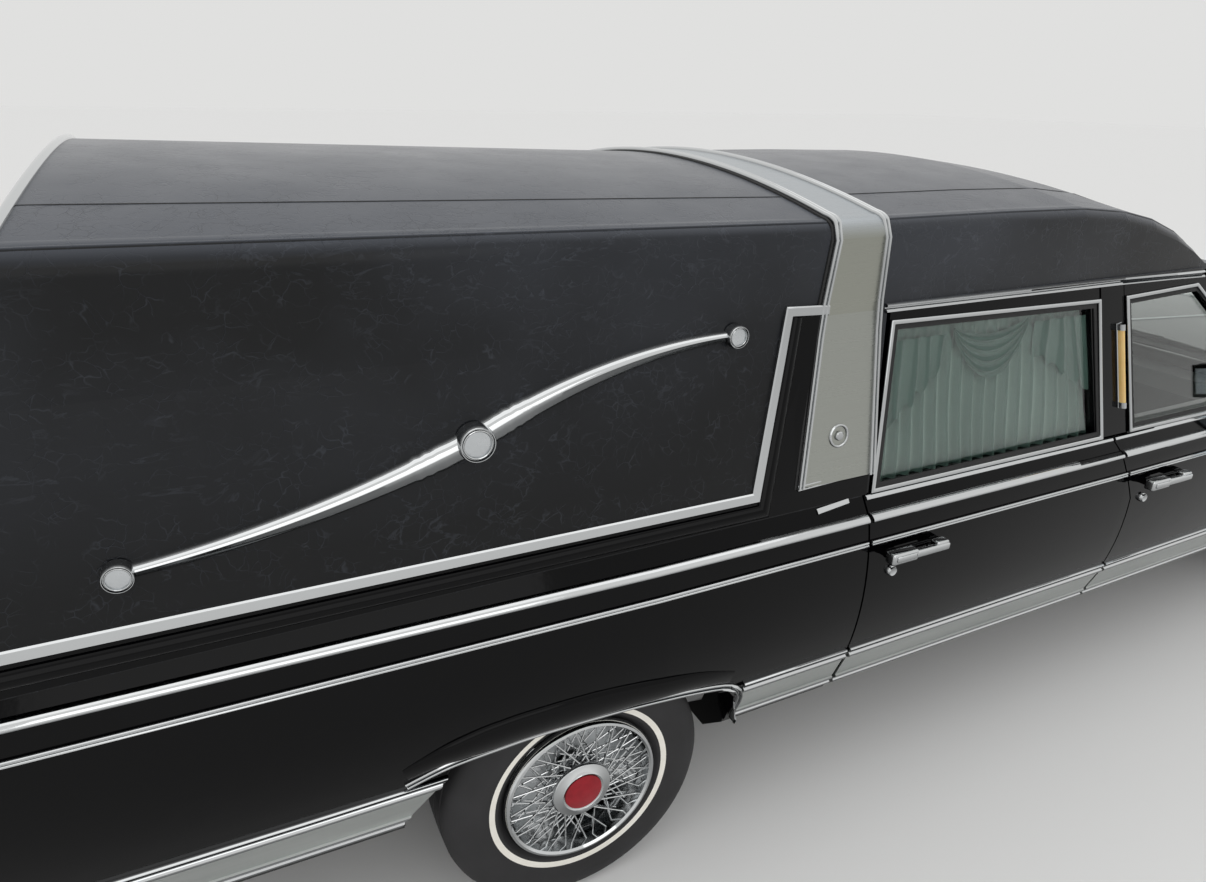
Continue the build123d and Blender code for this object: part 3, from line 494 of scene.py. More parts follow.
# Hidden steels: satin paints, rough casting, dull aluminised pipe
floorPaint = finish("satinUnderbodyPaint", "floor_paint", "#17181A", 0.6)
chassisSteel = finish("chassisBlack", "chassis_steel", "#111112", 0.5)
tankSteel = finish("paintedTankSteel", "tank_steel", "#1A1B1C", 0.5)
castIron = finish("castIronBlock", "cast_engine", "#3C4043", 0.7, 0.6)
exhaustSteel = finish("aluminisedExhaust", "exhaust_steel", "#8B8A86", 0.45, 1.0)
hiddenSteels = ((floorPaint, 0.02, 0.0003), (chassisSteel, 0.01, 0.0002), (tankSteel, 0.02, 0.0003),
                (castIron, 0.006, 0.0008), (exhaustSteel, 0.02, 0.0003))
for material, size, depth in hiddenSteels:
    relief(material, noise(material, size, 4), depth)
    feed(material, "Roughness", ranged(material, noise(material, size * 8, 4), 0.4, 0.75))

# Expanded vinyl over padding: black and dressed to a sheen, with a painted bluish sheen where it faces up and
# high on the sides, with broken hairline creases 20 to 60 mm apart that run anyhow and a pebble grain of 2 mm
# between them
crinkleVinyl = finish("crinkleVinyl", "roof_vinyl", "#15171A", 0.4, Specular_IOR_Level=0.14,
                      Coat_Weight=0.7, Coat_Roughness=0.24, Coat_IOR=1.25)
place = objectPlace(crinkleVinyl)
wander = addNode(crinkleVinyl, "ShaderNodeTexNoise", {"Scale": 1 / 0.11, "Detail": 3}, {"Vector": place})
shift = addNode(crinkleVinyl, "ShaderNodeVectorMath", {3: 0.10}, {0: wander.outputs[1]}, operation="SCALE")
bent = addNode(crinkleVinyl, "ShaderNodeVectorMath", {}, {0: place, 1: shift.outputs[0]}, operation="ADD")
cell = addNode(crinkleVinyl, "ShaderNodeTexVoronoi", {"Scale": 1 / 0.026}, {"Vector": bent.outputs[0]},
               feature="DISTANCE_TO_EDGE")
pressed = noise(crinkleVinyl, 0.075, 6, (0.6, 1, 1.3), Distortion=0.7)
contour = maths(crinkleVinyl, "ABSOLUTE", maths(crinkleVinyl, "SUBTRACT", pressed, 0.5))
creases = []
for source, width, patchSize in ((cell.outputs[0], 0.045, 0.06), (contour, 0.014, 0.22)):
    patch = ranged(crinkleVinyl, noise(crinkleVinyl, patchSize, 4), 0.0, 1.0, 0.46, 0.60)
    hairline = ranged(crinkleVinyl, source, 1.0, 0.0, 0.0, width)
    creases.append(maths(crinkleVinyl, "MULTIPLY", hairline, patch))
crease = maths(crinkleVinyl, "MAXIMUM", *creases)
pebbles = maths(crinkleVinyl, "MULTIPLY", noise(crinkleVinyl, 0.0024, 3), 0.25)
relief(crinkleVinyl, maths(crinkleVinyl, "SUBTRACT", pebbles, crease), 0.0014, 0.8)
height = addNode(crinkleVinyl, "ShaderNodeSeparateXYZ", {}, {0: place}).outputs[2]
# painted sheen: the sides pale towards their top in soft patches, and upward faces pale as well
paintedUpperSheen = maths(crinkleVinyl, "MULTIPLY", ranged(crinkleVinyl, height, 0.0, 0.42, 1.15, 1.62),
               ranged(crinkleVinyl, noise(crinkleVinyl, 0.9, 4), 0.0, 1.0, 0.38, 0.62))
paintedSheen = maths(crinkleVinyl, "MAXIMUM", facingUp(crinkleVinyl, 0.30, 1.0), paintedUpperSheen)
worn = maths(crinkleVinyl, "MULTIPLY", crease, 0.30)
tinted(crinkleVinyl, maths(crinkleVinyl, "ADD", paintedSheen, worn), "#0A0B0D", "#43474F")
feed(crinkleVinyl, "Roughness", ranged(crinkleVinyl, noise(crinkleVinyl, 0.2, 4), 0.34, 0.48))

# Satin-weave polyester, pleated: pale sage green with a soft sheen, threads 0.8 mm apart, with painted shade
# darkening its folds
curtainCloth = finish("sageCurtainSatin", "curtain_cloth", "#A9C0B7", 0.7, Sheen_Weight=0.3)
weave = pattern(curtainCloth, "ShaderNodeTexWave", 0.0016)
relief(curtainCloth, weave[1], 0.00006)
# painted shade: the cloth darkens where ambient occlusion finds folds close by
paintedFoldShade = addNode(curtainCloth, "ShaderNodeAmbientOcclusion", {"Distance": 0.03}, samples=8).outputs["AO"]
tinted(curtainCloth, ranged(curtainCloth, paintedFoldShade, 0.0, 1.0, 0.30, 0.90), "#5E7C73", "#C8DBD3")
print("materials mixed")

slotFinish = {slot: bpy.data.materials[name] for name, slot in reversed(finishSlots.items())}
for subpart in frame["record"]["subparts"]:
    mesh = nodes[subpart["node"]].data
    mesh.materials.clear()
    mesh.materials.append(slotFinish[subpart["material_slot"]])
print("solids painted")

# Bright mouldings along the side, one length for each panel
side = {
    "beltZ": 0.956, "beltWidth": 0.021, "beltProud": 0.009, "thinZ": 0.890, "thinWidth": 0.013,
    "thinProud": 0.0035,
    "sillZ": 1.001, "sillWidth": 0.013, "sillProud": 0.007, "sillEnd": 1.24, "seamX": 0.342,
    "seamBendZ": 0.8,
    "seamBeltX": 0.25, "seamBeltZ": 1.005, "gap": 0.006, "cowlX": 1.515, "fenderFall": 0.0597,
    "quarter": (-3.035, -0.757), "doors": (-0.744, 1.508), "fender": (1.523, 3.04),
}


def seamX(z):
    share = max(0, z - side["seamBendZ"]) / (side["seamBeltZ"] - side["seamBendZ"])
    return side["seamX"] + (side["seamBeltX"] - side["seamX"]) * share


def panelSpans(z):  # panel: body, start and end of its visible side at height z
    seam, gap = seamX(z), side["gap"]
    rearEdge, frontEdge = side["doors"]
    return {
        "quarter": ("body", *side["quarter"]), "rearDoor": ("rear_door_right", rearEdge, seam - gap),
        "frontDoor": ("front_door_right", seam + gap, frontEdge), "fender": ("body", *side["fender"]),
    }


def fallZ(x, z):  # the side's lines fall with the fender's crown ahead of the cowl
    return z - max(0, x - side["cowlX"]) * side["fenderFall"]


sideLines = ((side["beltZ"], rounded(side["beltWidth"], side["beltProud"], 8), "BeltMoulding"),
             (side["thinZ"], twinRidge(side["thinWidth"], side["thinProud"]), "ThinMoulding"))
for z, profile, name in sideLines:
    for panel, (body, start, end) in panelSpans(z).items():
        line = strip([(x, fallZ(x, z)) for x in stations(start, end)], profile)
        settlePair(line, panel + name, body, brightChrome)
for panel in ("rearDoor", "frontDoor"):
    body, start, end = panelSpans(side["sillZ"])[panel]
    sillPath = [(x, side["sillZ"]) for x in stations(start, min(end, side["sillEnd"]))]
    line = strip(sillPath, rounded(side["sillWidth"], side["sillProud"]))
    settlePair(line, panel + "SillMoulding", body, brightChrome)

# Lower cladding: two thin bright lines, a bright rib, a broad satin flat, a low ridge and a bright edge
cladding = {
    "middleZ": 0.473, "flat": (0.428, 0.516), "slantX": -1.985, "slant": 0.68, "lowZ": 0.397,
    "endDepth": 0.005,
    "leastHalf": 0.88,
    "section": [(0.0760, -0.002), (0.0755, 0.0050), (0.0720, 0.0055), (0.0710, 0.0010), (0.0670, 0.0010),
                (0.0660, 0.0055), (0.0620, 0.0055), (0.0600, 0.0010), (0.0570, 0.0040), (0.0540, 0.0095),
                (0.0490, 0.0110), (0.0440, 0.0090), (0.0420, 0.0030), (-0.0420, 0.0030),
                (-0.0450, 0.0080), (-0.0520, 0.0090), (-0.0570, 0.0040), (-0.0640, 0.0035),
                (-0.0670, 0.0080), (-0.0740, 0.0080), (-0.0760, -0.002), (0.0760, -0.002)],
    "spans": [("quarterRear", "body", -3.02, -1.985), ("quarterFront", "body", -1.098, -0.757),
              ("rearDoor", "rear_door_right", -0.744, 0.336), ("frontDoor", "front_door_right", 0.348, 1.508),
              ("fenderRear", "body", 1.523, 1.735), ("fenderFront", "body", 2.537, 3.03)],
}


def onFlat(centre):  # on the broad flat of the cladding's outer face
    low, high = cladding["flat"]
    return low < centre.z < high and abs(centre.y) > cladding["leastHalf"]


for panel, body, start, end in cladding["spans"]:
    length = strip([(x, cladding["middleZ"]) for x in stations(start, end)], cladding["section"][::-1])
    rail = settle(length, panel + "CladdingRight", body, brightChrome)
    if end == cladding["slantX"]:  # the end at the wheel leans forward to the arch's lip
        for vertex in rail.data.vertices:
            if vertex.co.x > end - cladding["endDepth"]:
                vertex.co.x += (vertex.co.z - cladding["lowZ"]) * cladding["slant"]
    repaint(rail, satinAluminium, onFlat)
    mirrorTwin(rail, panel + "CladdingLeft", body.replace("right", "left"))
print("mouldings laid")

# Chrome lips of the wheel openings, with the raised flare above the rear one
rearArch = [(-1.107, 0.41), (-1.107, 0.487), (-1.145, 0.538), (-1.264, 0.568), (-1.422, 0.586),
            (-1.58, 0.592), (-1.70, 0.591), (-1.766, 0.586), (-1.84, 0.580), (-1.90, 0.570),
            (-1.975, 0.545)]
arch = {
    "lipWidth": 0.022, "lipProud": 0.009, "lipForward": 0.008, "lipRise": 0.016,
    "flareRise": 0.050, "flareWidth": 0.085, "flareProud": 0.014,
    "front": (2.135, 0.35), "frontRadius": 0.405, "frontWidth": 0.018, "frontProud": 0.007,
    "frontTurns": (186, -7, -6),
}
lipPath = []
for i, (x, z) in enumerate(rearArch):  # the lip rises off the opening over its first two points
    lipPath.append((x + (arch["lipForward"] if i < 2 else 0), z + arch["lipRise"] * min(1, i / 2)))
lip = strip(eased(lipPath), twinRidge(arch["lipWidth"], arch["lipProud"]))
settlePair(lip, "rearArchLip", "body", brightChrome)


def flareSize(share):
    end = min(share, 1 - share)
    return min(1, 0.5 + 1.5 * end), min(1, 0.2 + 4 * end)


flarePath = eased([(x, z + arch["flareRise"]) for x, z in rearArch[2:]])
flare = strip(flarePath, rounded(arch["flareWidth"], arch["flareProud"], 12), sizeAt=flareSize)
settlePair(flare, "rearArchFlare", "body", glossPaint, 60)
frontLip = [onRing(arch["front"], arch["frontRadius"], math.radians(a)) for a in range(*arch["frontTurns"])]
lip = strip(frontLip, twinRidge(arch["frontWidth"], arch["frontProud"]))
settlePair(lip, "frontArchLip", "body", brightChrome)
print("arches trimmed")

# Padded roof: painted strip and chrome round the blind panel, rolled step below it, seams, rear hoop
roof = {
    "trim": ((-0.889, 1.495), (-0.999, 1.499), (-1.090, 1.067), (-2.765, 1.081)), "trimWidth": 0.025,
    "strip": ((-2.78, 1.008), (-0.739, 1.008), (-0.737, 1.060), (-0.968, 1.060), (-0.889, 1.492),
              (-0.997, 1.492),
              (-1.086, 1.070), (-2.77, 1.084)),
    "shoulder": ((-2.78, 1.042), (-1.9, 1.036), (-1.068, 1.028), (-0.978, 1.486)),
    "seamY": 0.64, "seamWire": 0.0026, "seamSink": 0.0012, "edgeY": 0.812, "edgeWire": 0.006,
    "edgeSink": 0.004,
    "spans": (("Rear", -2.48, -0.897), ("Front", -0.709, 0.62)), "step": 0.06,
}
painted = outline([onSide(x, z) for x, z in roof["strip"]], (0, -0.002, 0))
settlePair(painted, "paintedSideStrip", "body", glossPaint)
settlePair(strip(roof["trim"], flatBar(roof["trimWidth"], 0.008, 0.003)), "vinylTrim", "body", brightChrome)
settlePair(strip(roof["shoulder"], rounded(0.036, 0.015, 10)), "paintedShoulder", "body", glossPaint, 60)


def roofLine(start, end, y, sink):
    return [(x, -y, roofZ(x, -y) - sink) for x in stations(start, end, roof["step"])]


for part, start, end in roof["spans"]:
    seam = bead(roofLine(start, end, roof["seamY"], roof["seamSink"]), roof["seamWire"], rounds=2)
    settlePair(seam, "roofSeam" + part, "body", sealRubber)
    roll = bead(roofLine(start, end, roof["edgeY"], roof["edgeSink"]), roof["edgeWire"], rounds=4)
    settlePair(roll, "roofEdgeRoll" + part, "body", crinkleVinyl)

# Hoops over the roof: straight up each side to sideZ, then over the top
hoopSize = {
    "low": 1.08, "sideZ": 1.655, "sideSteps": 8, "half": 0.826, "topZ": 1.76, "topSteps": 26,
    "bandX": -0.876, "bandBendZ": 1.68, "bandLean": 0.133, "tailX": -3.0,
}


def hoopLine(xAt, low):  # right side up, over the roof and down the left side
    rise = (hoopSize["sideZ"] - low) / hoopSize["sideSteps"]
    heights = [low + rise * i for i in range(hoopSize["sideSteps"] + 1)]
    points = [Vector((xAt(z), -sideY(xAt(z), z), z)) for z in heights]
    for i in range(hoopSize["topSteps"] + 1):
        y = -hoopSize["half"] * math.cos(math.pi / 2 * i / hoopSize["topSteps"])
        x = xAt(hoopSize["topZ"])
        for _ in range(3):
            z = roofZ(x, y)
            x = xAt(z)
        points.append(Vector((x, y, z)))
    return points + [Vector((p.x, -p.y, p.z)) for p in reversed(points[:-1])]


def hoop(xAt, profile, low):  # a moulded strip on that line; the profile's points are (forward, outward)
    line = hoopLine(xAt, low)
    last = len(line) - 1
    across = []
    for i in range(last + 1):
        along = line[min(i + 1, last)] - line[max(i - 1, 0)]
        across.append(Vector((0, -along.z, along.y)).normalized())

    def placeAt(u, v):
        i = round(u * last)
        forward, outward = profile[round(v * (len(profile) - 1))]
        return line[i] + Vector((forward, 0, 0)) + across[i] * outward
    return lattice(last, len(profile) - 1, placeAt, True)


def bandRearX(z):
    return hoopSize["bandX"] - max(0, hoopSize["bandBendZ"] - z) * hoopSize["bandLean"]


def rearTrimX(z):
    return max(rearX(z), hoopSize["tailX"]) + 0.012


rearTrim = hoop(rearTrimX, rounded(0.019, 0.010, 8), hoopSize["low"])
settle(rearTrim, "rearRoofTrim", "body", brightChrome)
band = {"foot": ((-0.967, 1.068), (-0.722, 1.068)), "low": 1.064, "edge": twinRidge(0.019, 0.008)}
bandParts = (("bandEdgeRear", bandRearX, band["edge"], brightChrome),
             ("bandGasketRear", lambda z: bandRearX(z) - 0.0135, rounded(0.010, 0.005, 4), sealRubber),
             ("bandEdgeFront", lambda z: -0.7305, band["edge"], brightChrome),
             ("bandGasketFront", lambda z: -0.7175, rounded(0.008, 0.005, 4), sealRubber))
for name, xAt, profile, material in bandParts:
    settle(hoop(xAt, profile, band["low"]), name, "body", material)
settlePair(strip(band["foot"], twinRidge(0.016, 0.008), 0.001), "bandFoot", "body", brightChrome)

# Plain ring with a disc on the band, and a plain bar below it
blank = {
    "place": (-0.842, 1.182), "ring": 0.027, "wire": 0.0035, "steps": 40,
    "disc": ((0, 0), (0.012, 0), (0.012, 0.004), (0.010, 0.006), (0, 0.007)),
    "bar": ((-0.905, 0.996), (-0.802, 1.004)),
}
ringTurns = [math.tau * i / blank["steps"] for i in range(blank["steps"])]
ringLine = [onSide(*onRing(blank["place"], blank["ring"], turn), 0.001) for turn in ringTurns]
disc = turned(blank["disc"], blank["steps"])
disc.location = onSide(*blank["place"])
gather([bead(ringLine, blank["wire"], True), disc], "bandRing", "body", brightChrome)
settlePair(strip(blank["bar"], flatBar(0.012, 0.005, 0.002)), "plainNameBar", "body", brightChrome)
print("roof trimmed")

# Drip rails over the doors: two bright ridges
dripPath = [(-0.706, 1.4815), (-0.2, 1.4812), (0.2, 1.4800), (0.45, 1.4770), (0.6, 1.4735)]
settlePair(strip(dripPath, twinRidge(0.024, 0.012)), "dripRail", "body", brightChrome)

# Window frames of the doors: chrome outside, black rubber against the glass
frames = {
    "rear": [(-0.684, 1.451), (0.116, 1.437), (0.199, 1.008), (-0.725, 1.008)],
    "front": [(0.231, 1.436), (0.578, 1.448), (1.185, 1.010), (0.326, 1.010)],
    "rim": 0.012, "proud": 0.009, "sealRim": 0.014, "sealIn": 0.0125, "sealProud": 0.005,
    "sealSink": 0.001,
    "middleZ": 1.2,
}


def sealCorner(x, z, middleX):  # a corner of the frame, moved inwards
    inward = frames["sealIn"]
    x += inward if x < middleX else -inward
    z += inward if z < frames["middleZ"] else -inward
    return onSide(x, z, -frames["sealSink"])


for door in ("rear", "front"):
    body = f"{door}_door_right"
    corners = [onSide(x, z) for x, z in frames[door]]
    rim = outline(corners, (0, -frames["proud"], 0), rim=frames["rim"], bevel=0.003)
    settlePair(rim, door + "WindowFrame", body, brightChrome)
    middleX = sum(x for x, z in frames[door]) / 4
    corners = [sealCorner(x, z, middleX) for x, z in frames[door]]
    seal = outline(corners, (0, -frames["sealProud"], 0), rim=frames["sealRim"], bevel=0.002)
    settlePair(seal, door + "WindowSeal", body, sealRubber)
print("windows framed")

# Landau bars: tapered arms with fluted collars beside the medallion, and turned buttons
landau = {
    "rear": (-2.413, 1.185), "middle": (-1.771, 1.317), "front": (-1.152, 1.461),
    "bow": {"rear": -0.022, "front": 0.034},
    "endWidth": 0.023, "middleWidth": 0.056, "taper": 0.8, "height": 0.024, "collar": (0.045, 0.120),
    "flute": 0.0030,
    "flutes": 3, "buttons": {"rear": (0.027, 0.040), "middle": (0.039, 0.050), "front": (0.027, 0.040)},
    "face": 0.7, "steps": 60,
}


def bowedLine(start, end, bow):
    (x0, z0), (x1, z1) = start, end
    shares = [i / landau["steps"] for i in range(landau["steps"] + 1)]
    return [(x0 + (x1 - x0) * t, z0 + (z1 - z0) * t + bow * 4 * t * (1 - t)) for t in shares]


def armSize(share, length):  # width and height of the arm at a share of its way from the medallion
    away = share * length
    near, far = landau["collar"]
    wide = landau["middleWidth"] + (landau["endWidth"] - landau["middleWidth"]) * share ** landau["taper"]
    if near < away < far:
        wide += landau["flute"] * (1 + math.cos(math.tau * landau["flutes"] * (away - near) / (far - near)))
    return wide, landau["height"] * (0.55 + 0.45 * wide / landau["middleWidth"])


# Two facets with the edge between them above the middle; the rear arm has them the other way round
armSection = [(-0.5, -0.1), (-0.5, 0.20), (-0.44, 0.40), (-0.34, 0.54), (-0.10, 0.78), (0.10, 1.0),
              (0.13, 1.0), (0.30, 0.86), (0.42, 0.62), (0.49, 0.30), (0.5, -0.1), (-0.5, -0.1)]
for end, bow in landau["bow"].items():
    path = bowedLine(landau["middle"], landau[end], bow)
    length = abs(landau[end][0] - landau["middle"][0])
    section = armSection if end == "front" else [(-across, proud) for across, proud in armSection]
    arm = strip(path, section, 0.001, lambda share: armSize(share, length))
    for piece in settlePair(arm, "landauArm" + end.capitalize(), "body", brightChrome, 30):
        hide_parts("landau_bars")
buttonProfile = [(0, 0), (1.0, 0), (1.0, 0.46), (0.97, 0.60), (0.92, 0.66), (0.88, 0.66), (0.84, 0.56),
                 (0.81, 0.56), (0.79, 0.62), (0.75, 0.64), (0.71, 0.62), (0.69, 0.55), (0.4, 0.57),
                 (0, 0.575)]


def onFace(centre, place, radius):  # on the sunk face of a button
    return math.hypot(centre.x - place[0], centre.z - place[1]) < landau["face"] * radius


for part, (radius, thick) in landau["buttons"].items():
    name = "landauButton" + part.capitalize()
    button = turned([(across * radius, proud * thick) for across, proud in buttonProfile], 64)
    button.location = onSide(*landau[part])
    button = settle(button, name + "Right", "body", brightChrome, 25)
    repaint(button, silveredBowl, lambda centre: onFace(centre, landau[part], radius))
    mirrorTwin(button, name + "Left", "body")
print("landau bars hung")

# Lamps on the middle posts: a slim cream lens in a chrome tray with capped ends
lamp = {
    "top": (0.217, 1.347), "foot": (0.267, 1.110), "lens": (0.016, 0.016), "tray": (0.022, 0.005),
    "cap": (0.020, 0.018),
    "lift": 0.004,
    "spans": {"tray": (-0.05, 1.05), "lens": (0.02, 0.98), "Low": (-0.045, 0.03), "Top": (0.97, 1.045)},
}


def alongLamp(part):
    (topX, topZ), (footX, footZ) = lamp["top"], lamp["foot"]
    low, high = lamp["spans"][part]
    return [(footX + (topX - footX) * t, footZ + (topZ - footZ) * t) for t in (low, (low + high) / 2, high)]


tray = strip(alongLamp("tray"), flatBar(*lamp["tray"], 0.002))
settlePair(tray, "postLampTray", "body", brightChrome)
lens = strip(alongLamp("lens"), rounded(*lamp["lens"], 10), lamp["lift"])
for piece in settlePair(lens, "postLampLens", "body", amberLens, 60):
    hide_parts("post_lamps")
for part in ("Low", "Top"):
    cap = strip(alongLamp(part), rounded(*lamp["cap"], 8), lamp["lift"])
    settlePair(cap, "postLampCap" + part, "body", brightChrome)

# Pull handles: a squared foot with a rib, an arm that runs forward to its second foot, and the round lock
handles = {
    "places": {"rear": (-0.722, 0.862), "front": (0.345, 0.862)},
    # Each part: along the door, out of it, up from the handle's height, bevel and its segments
    "parts": (((0, 0.088), (0.031, 0), (-0.016, 0.016), 0.006, 4),
              ((0.012, 0.078), (0.035, 0.028), (-0.006, 0.010), 0.003, 3),
              ((0.070, 0.201), (0.031, 0.013), (-0.011, 0.010), 0.005, 3),
              ((0.158, 0.200), (0.027, 0), (-0.014, 0.016), 0.005, 3)),
    "lock": ((0, 0), (0.0155, 0), (0.0155, 0.008), (0.012, 0.013), (0.009, 0.0115), (0, 0.012)),
    "lockForward": 0.055, "lockDrop": 0.068, "seatDrop": 0.052,
}
for door, (x, z) in handles["places"].items():
    y = 0.002 - sideY(x + 0.05, z)
    parts = []
    for along, out, up, bevel, segments in handles["parts"]:
        low, high = ((x + along[i], y - out[i], z + up[i]) for i in (0, 1))
        parts.append(brick(low, high, bevel, segments))
    lock = turned(handles["lock"], 40)
    lockX = x + handles["lockForward"]
    lock.location = (lockX, -sideY(lockX, z - handles["seatDrop"]), z - handles["lockDrop"])
    gather(parts + [lock], door + "DoorHandle", f"{door}_door_right", brightChrome)
print("handles fitted")

# Wheels: tyre with a narrow white band, wire cover and cap; profiles are (radius, outward)
wheels = {
    "front": (2.135, 0.785), "rear": (-1.545, 0.805), "axleZ": 0.35, "whiteBand": (0.2275, 0.2425),
    "wallOut": 0.09,
    "spokes": 20, "spokeRadius": 0.0021,
    "hubRadius": 0.074,
    # Rows of spokes: turn at the hub, lean, outward at the hub, radius and outward at the rim
    "rows": ((0, 0.42, 0.104, 0.189, 0.098), (0, -0.42, 0.098, 0.189, 0.094),
             (0.15, 0.85, 0.074, 0.180, 0.078), (0.15, -0.85, 0.074, 0.180, 0.078)),
}
tyreProfile = [(0.2, -0.088), (0.2, 0.088), (0.214, 0.098), (0.219, 0.1035), (0.2215, 0.1055),
               (0.2275, 0.1065), (0.2425, 0.1085), (0.246, 0.1075), (0.27, 0.1115), (0.295, 0.110),
               (0.32, 0.1035), (0.334, 0.096), (0.344, 0.085), (0.348, 0.07), (0.348, 0.062),
               (0.341, 0.060), (0.341, 0.055), (0.349, 0.053), (0.35, 0.024), (0.342, 0.022),
               (0.342, 0.017), (0.35, 0.015), (0.35, -0.015), (0.342, -0.017), (0.342, -0.022),
               (0.35, -0.024), (0.349, -0.053), (0.341, -0.055), (0.341, -0.060), (0.348, -0.062),
               (0.344, -0.085), (0.32, -0.1035), (0.27, -0.1115), (0.219, -0.1035)]
coverProfile = [(0.15, 0.02), (0.18, 0.075), (0.187, 0.098), (0.189, 0.112), (0.194, 0.117),
                (0.200, 0.1155), (0.205, 0.109), (0.206, 0.100), (0.203, 0.094), (0.195, 0.085),
                (0.190, 0.06), (0.155, 0.012)]
bowlProfile = [(0.0, 0.035), (0.06, 0.035), (0.075, 0.045), (0.12, 0.03), (0.152, 0.022), (0.152, 0.016),
               (0.12, 0.024), (0.07, 0.03), (0.0, 0.03)]
capProfile = [(0.0, 0.06), (0.070, 0.06), (0.080, 0.085), (0.081, 0.105), (0.077, 0.112), (0.060, 0.117),
              (0.055, 0.120), (0.052, 0.118), (0.0, 0.118)]
discProfile = [(0.0, 0.116), (0.0495, 0.116), (0.0495, 0.1195), (0.047, 0.1205), (0.0, 0.1215)]


def spokeEnd(radius, turn, outward):
    x, z = onRing((0, 0), radius, turn)
    return x, -outward, z


def spokeSet():
    wires = []
    for i in range(wheels["spokes"]):
        turn = math.tau * i / wheels["spokes"]
        for shift, lean, hubOut, rimRadius, rimOut in wheels["rows"]:
            start = spokeEnd(wheels["hubRadius"], turn + shift, hubOut)
            end = spokeEnd(rimRadius, turn + shift + lean, rimOut)
            wires.append(bead([start, end], wheels["spokeRadius"], rounds=1))
    return join(wires)


def onWhiteBand(centre, x, y):  # on the outer wall's pale band, for the wheel whose middle is at x and y
    inner, outer = wheels["whiteBand"]
    away = math.hypot(centre.x - x, centre.z - wheels["axleZ"])
    return inner < away < outer and abs(centre.y) > y + wheels["wallOut"]


wheelMasters = {"tyre": (turned(tyreProfile, 96), tyreRubber),
                "wireCover": (turned(coverProfile, 96), brightChrome),
                "coverBowl": (turned(bowlProfile, 64), silveredBowl),
                "spokes": (spokeSet(), brightChrome),
                "hubCap": (turned(capProfile, 64), brightChrome),
                "capDisc": (turned(discProfile, 48), redEnamel)}
for end in ("front", "rear"):
    x, y = wheels[end]
    for part, (master, material) in wheelMasters.items():
        pick(master)
        bpy.ops.object.duplicate()
        copy = bpy.context.object
        copy.location = (x, -y, wheels["axleZ"])
        rightPiece, leftPiece = settlePair(copy, end + part[0].upper() + part[1:], f"wheel_{end}_right", material)
        if part == "tyre":
            for piece, name in ((rightPiece, "right"), (leftPiece, "left")):
                repaint(piece, whitewallRubber, lambda centre: onWhiteBand(centre, x, y))
                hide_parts(f"tyre_{end}_{name}")
        if part == "wireCover":
            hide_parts(f"wheel_{end}_right")
            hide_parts(f"wheel_{end}_left")
for part in wheelMasters:
    bpy.data.objects.remove(wheelMasters[part][0])
print("wheels built")

# Pleated curtains: a panel with a flat header, a swag and two jabots before it; the loading door's is plain
curtain = {
    "left": -0.700, "right": 0.192, "leftLean": 0.06, "rightLean": -0.20, "low": 1.014, "high": 1.430,
    "header": 0.045, "headerEase": 0.02, "inward": 0.040, "pleat": 0.047, "width": 0.865, "depth": 0.0105,
    "sway": 0.010, "grid": (360, 26), "glassHalf": 0.912, "glassZ": 1.005, "glassLean": 0.07 / 0.475,
}
swag = {
    "start": 0.30, "width": 0.36, "z": 1.392, "rise": 0.012, "least": 0.020, "sag": 0.100, "folds": 4.2,
    "inward": 0.022, "depth": 0.006, "grid": (60, 48),
}
jabot = {
    "z": 1.388, "longest": 0.235, "step": 0.150, "hem": 0.010, "folds": 4, "lean": 0.030, "inward": 0.023,
    "depth": 0.007, "grid": (120, 24),
}


def curtainX(share, z):  # across the window, whose front edge leans back
    rise = z - curtain["low"]
    left = curtain["left"] + curtain["leftLean"] * rise
    return left + (curtain["right"] + curtain["rightLean"] * rise - left) * share


def hangAt(x, z, inward):  # a point that far inside the glass, which leans with the door
    half = curtain["glassHalf"] - (z - curtain["glassZ"]) * curtain["glassLean"]
    return Vector((x, inward - half, z))


def panelPlace(u, v):
    z = curtain["low"] + (curtain["high"] - curtain["low"]) * v
    loose = min(1, max(0, (curtain["high"] - curtain["header"] - z) / curtain["headerEase"]))
    wander = 1.3 * math.sin(5 * u) + 0.5 * math.sin(13 * u)
    fold = math.sin(math.tau * curtain["width"] * u / curtain["pleat"] + wander)
    sway = curtain["sway"] * math.sin(7 * u + 4 * v) * (1 - v)
    inward = curtain["inward"] + curtain["depth"] * fold * (0.12 + 0.88 * loose)
    return hangAt(curtainX(u, z) + sway * loose, z, inward)


def swagPlace(u, v):  # U-shaped folds between two gathered corners
    sag = 1 - (2 * u - 1) ** 2
    drop = swag["least"] + swag["sag"] * sag
    z = swag["z"] + swag["rise"] * (1 - sag) - drop * (1 - v) - swag["least"] * sag
    fold = math.sin(math.tau * swag["folds"] * (1 - v) + 2.2 * sag)
    x = curtainX(swag["start"] + swag["width"] * u, z)
    return hangAt(x, z, swag["inward"] + swag["depth"] * fold * (0.3 + 0.7 * sag))


def jabotPlace(u, v, start, end, longSide):  # a folded tail whose hem steps up from its long side
    rise, side = (u, 1) if longSide == "rear" else (1 - u, -1)
    drop = jabot["longest"] - jabot["step"] * rise + jabot["hem"] * math.sin(31 * u)
    z = jabot["z"] - drop * (1 - v)
    fold = math.sin(math.tau * jabot["folds"] * u + 0.9 * math.sin(7 * u + 2 * v))
    x = curtainX(start + (end - start) * u, z) + side * jabot["lean"] * (1 - v) * (0.5 - u)
    return hangAt(x, z, jabot["inward"] + jabot["depth"] * fold * (1.1 - 0.6 * v))


def flatLength(points):
    return sum((b - a).length for a, b in zip(points, points[1:]))


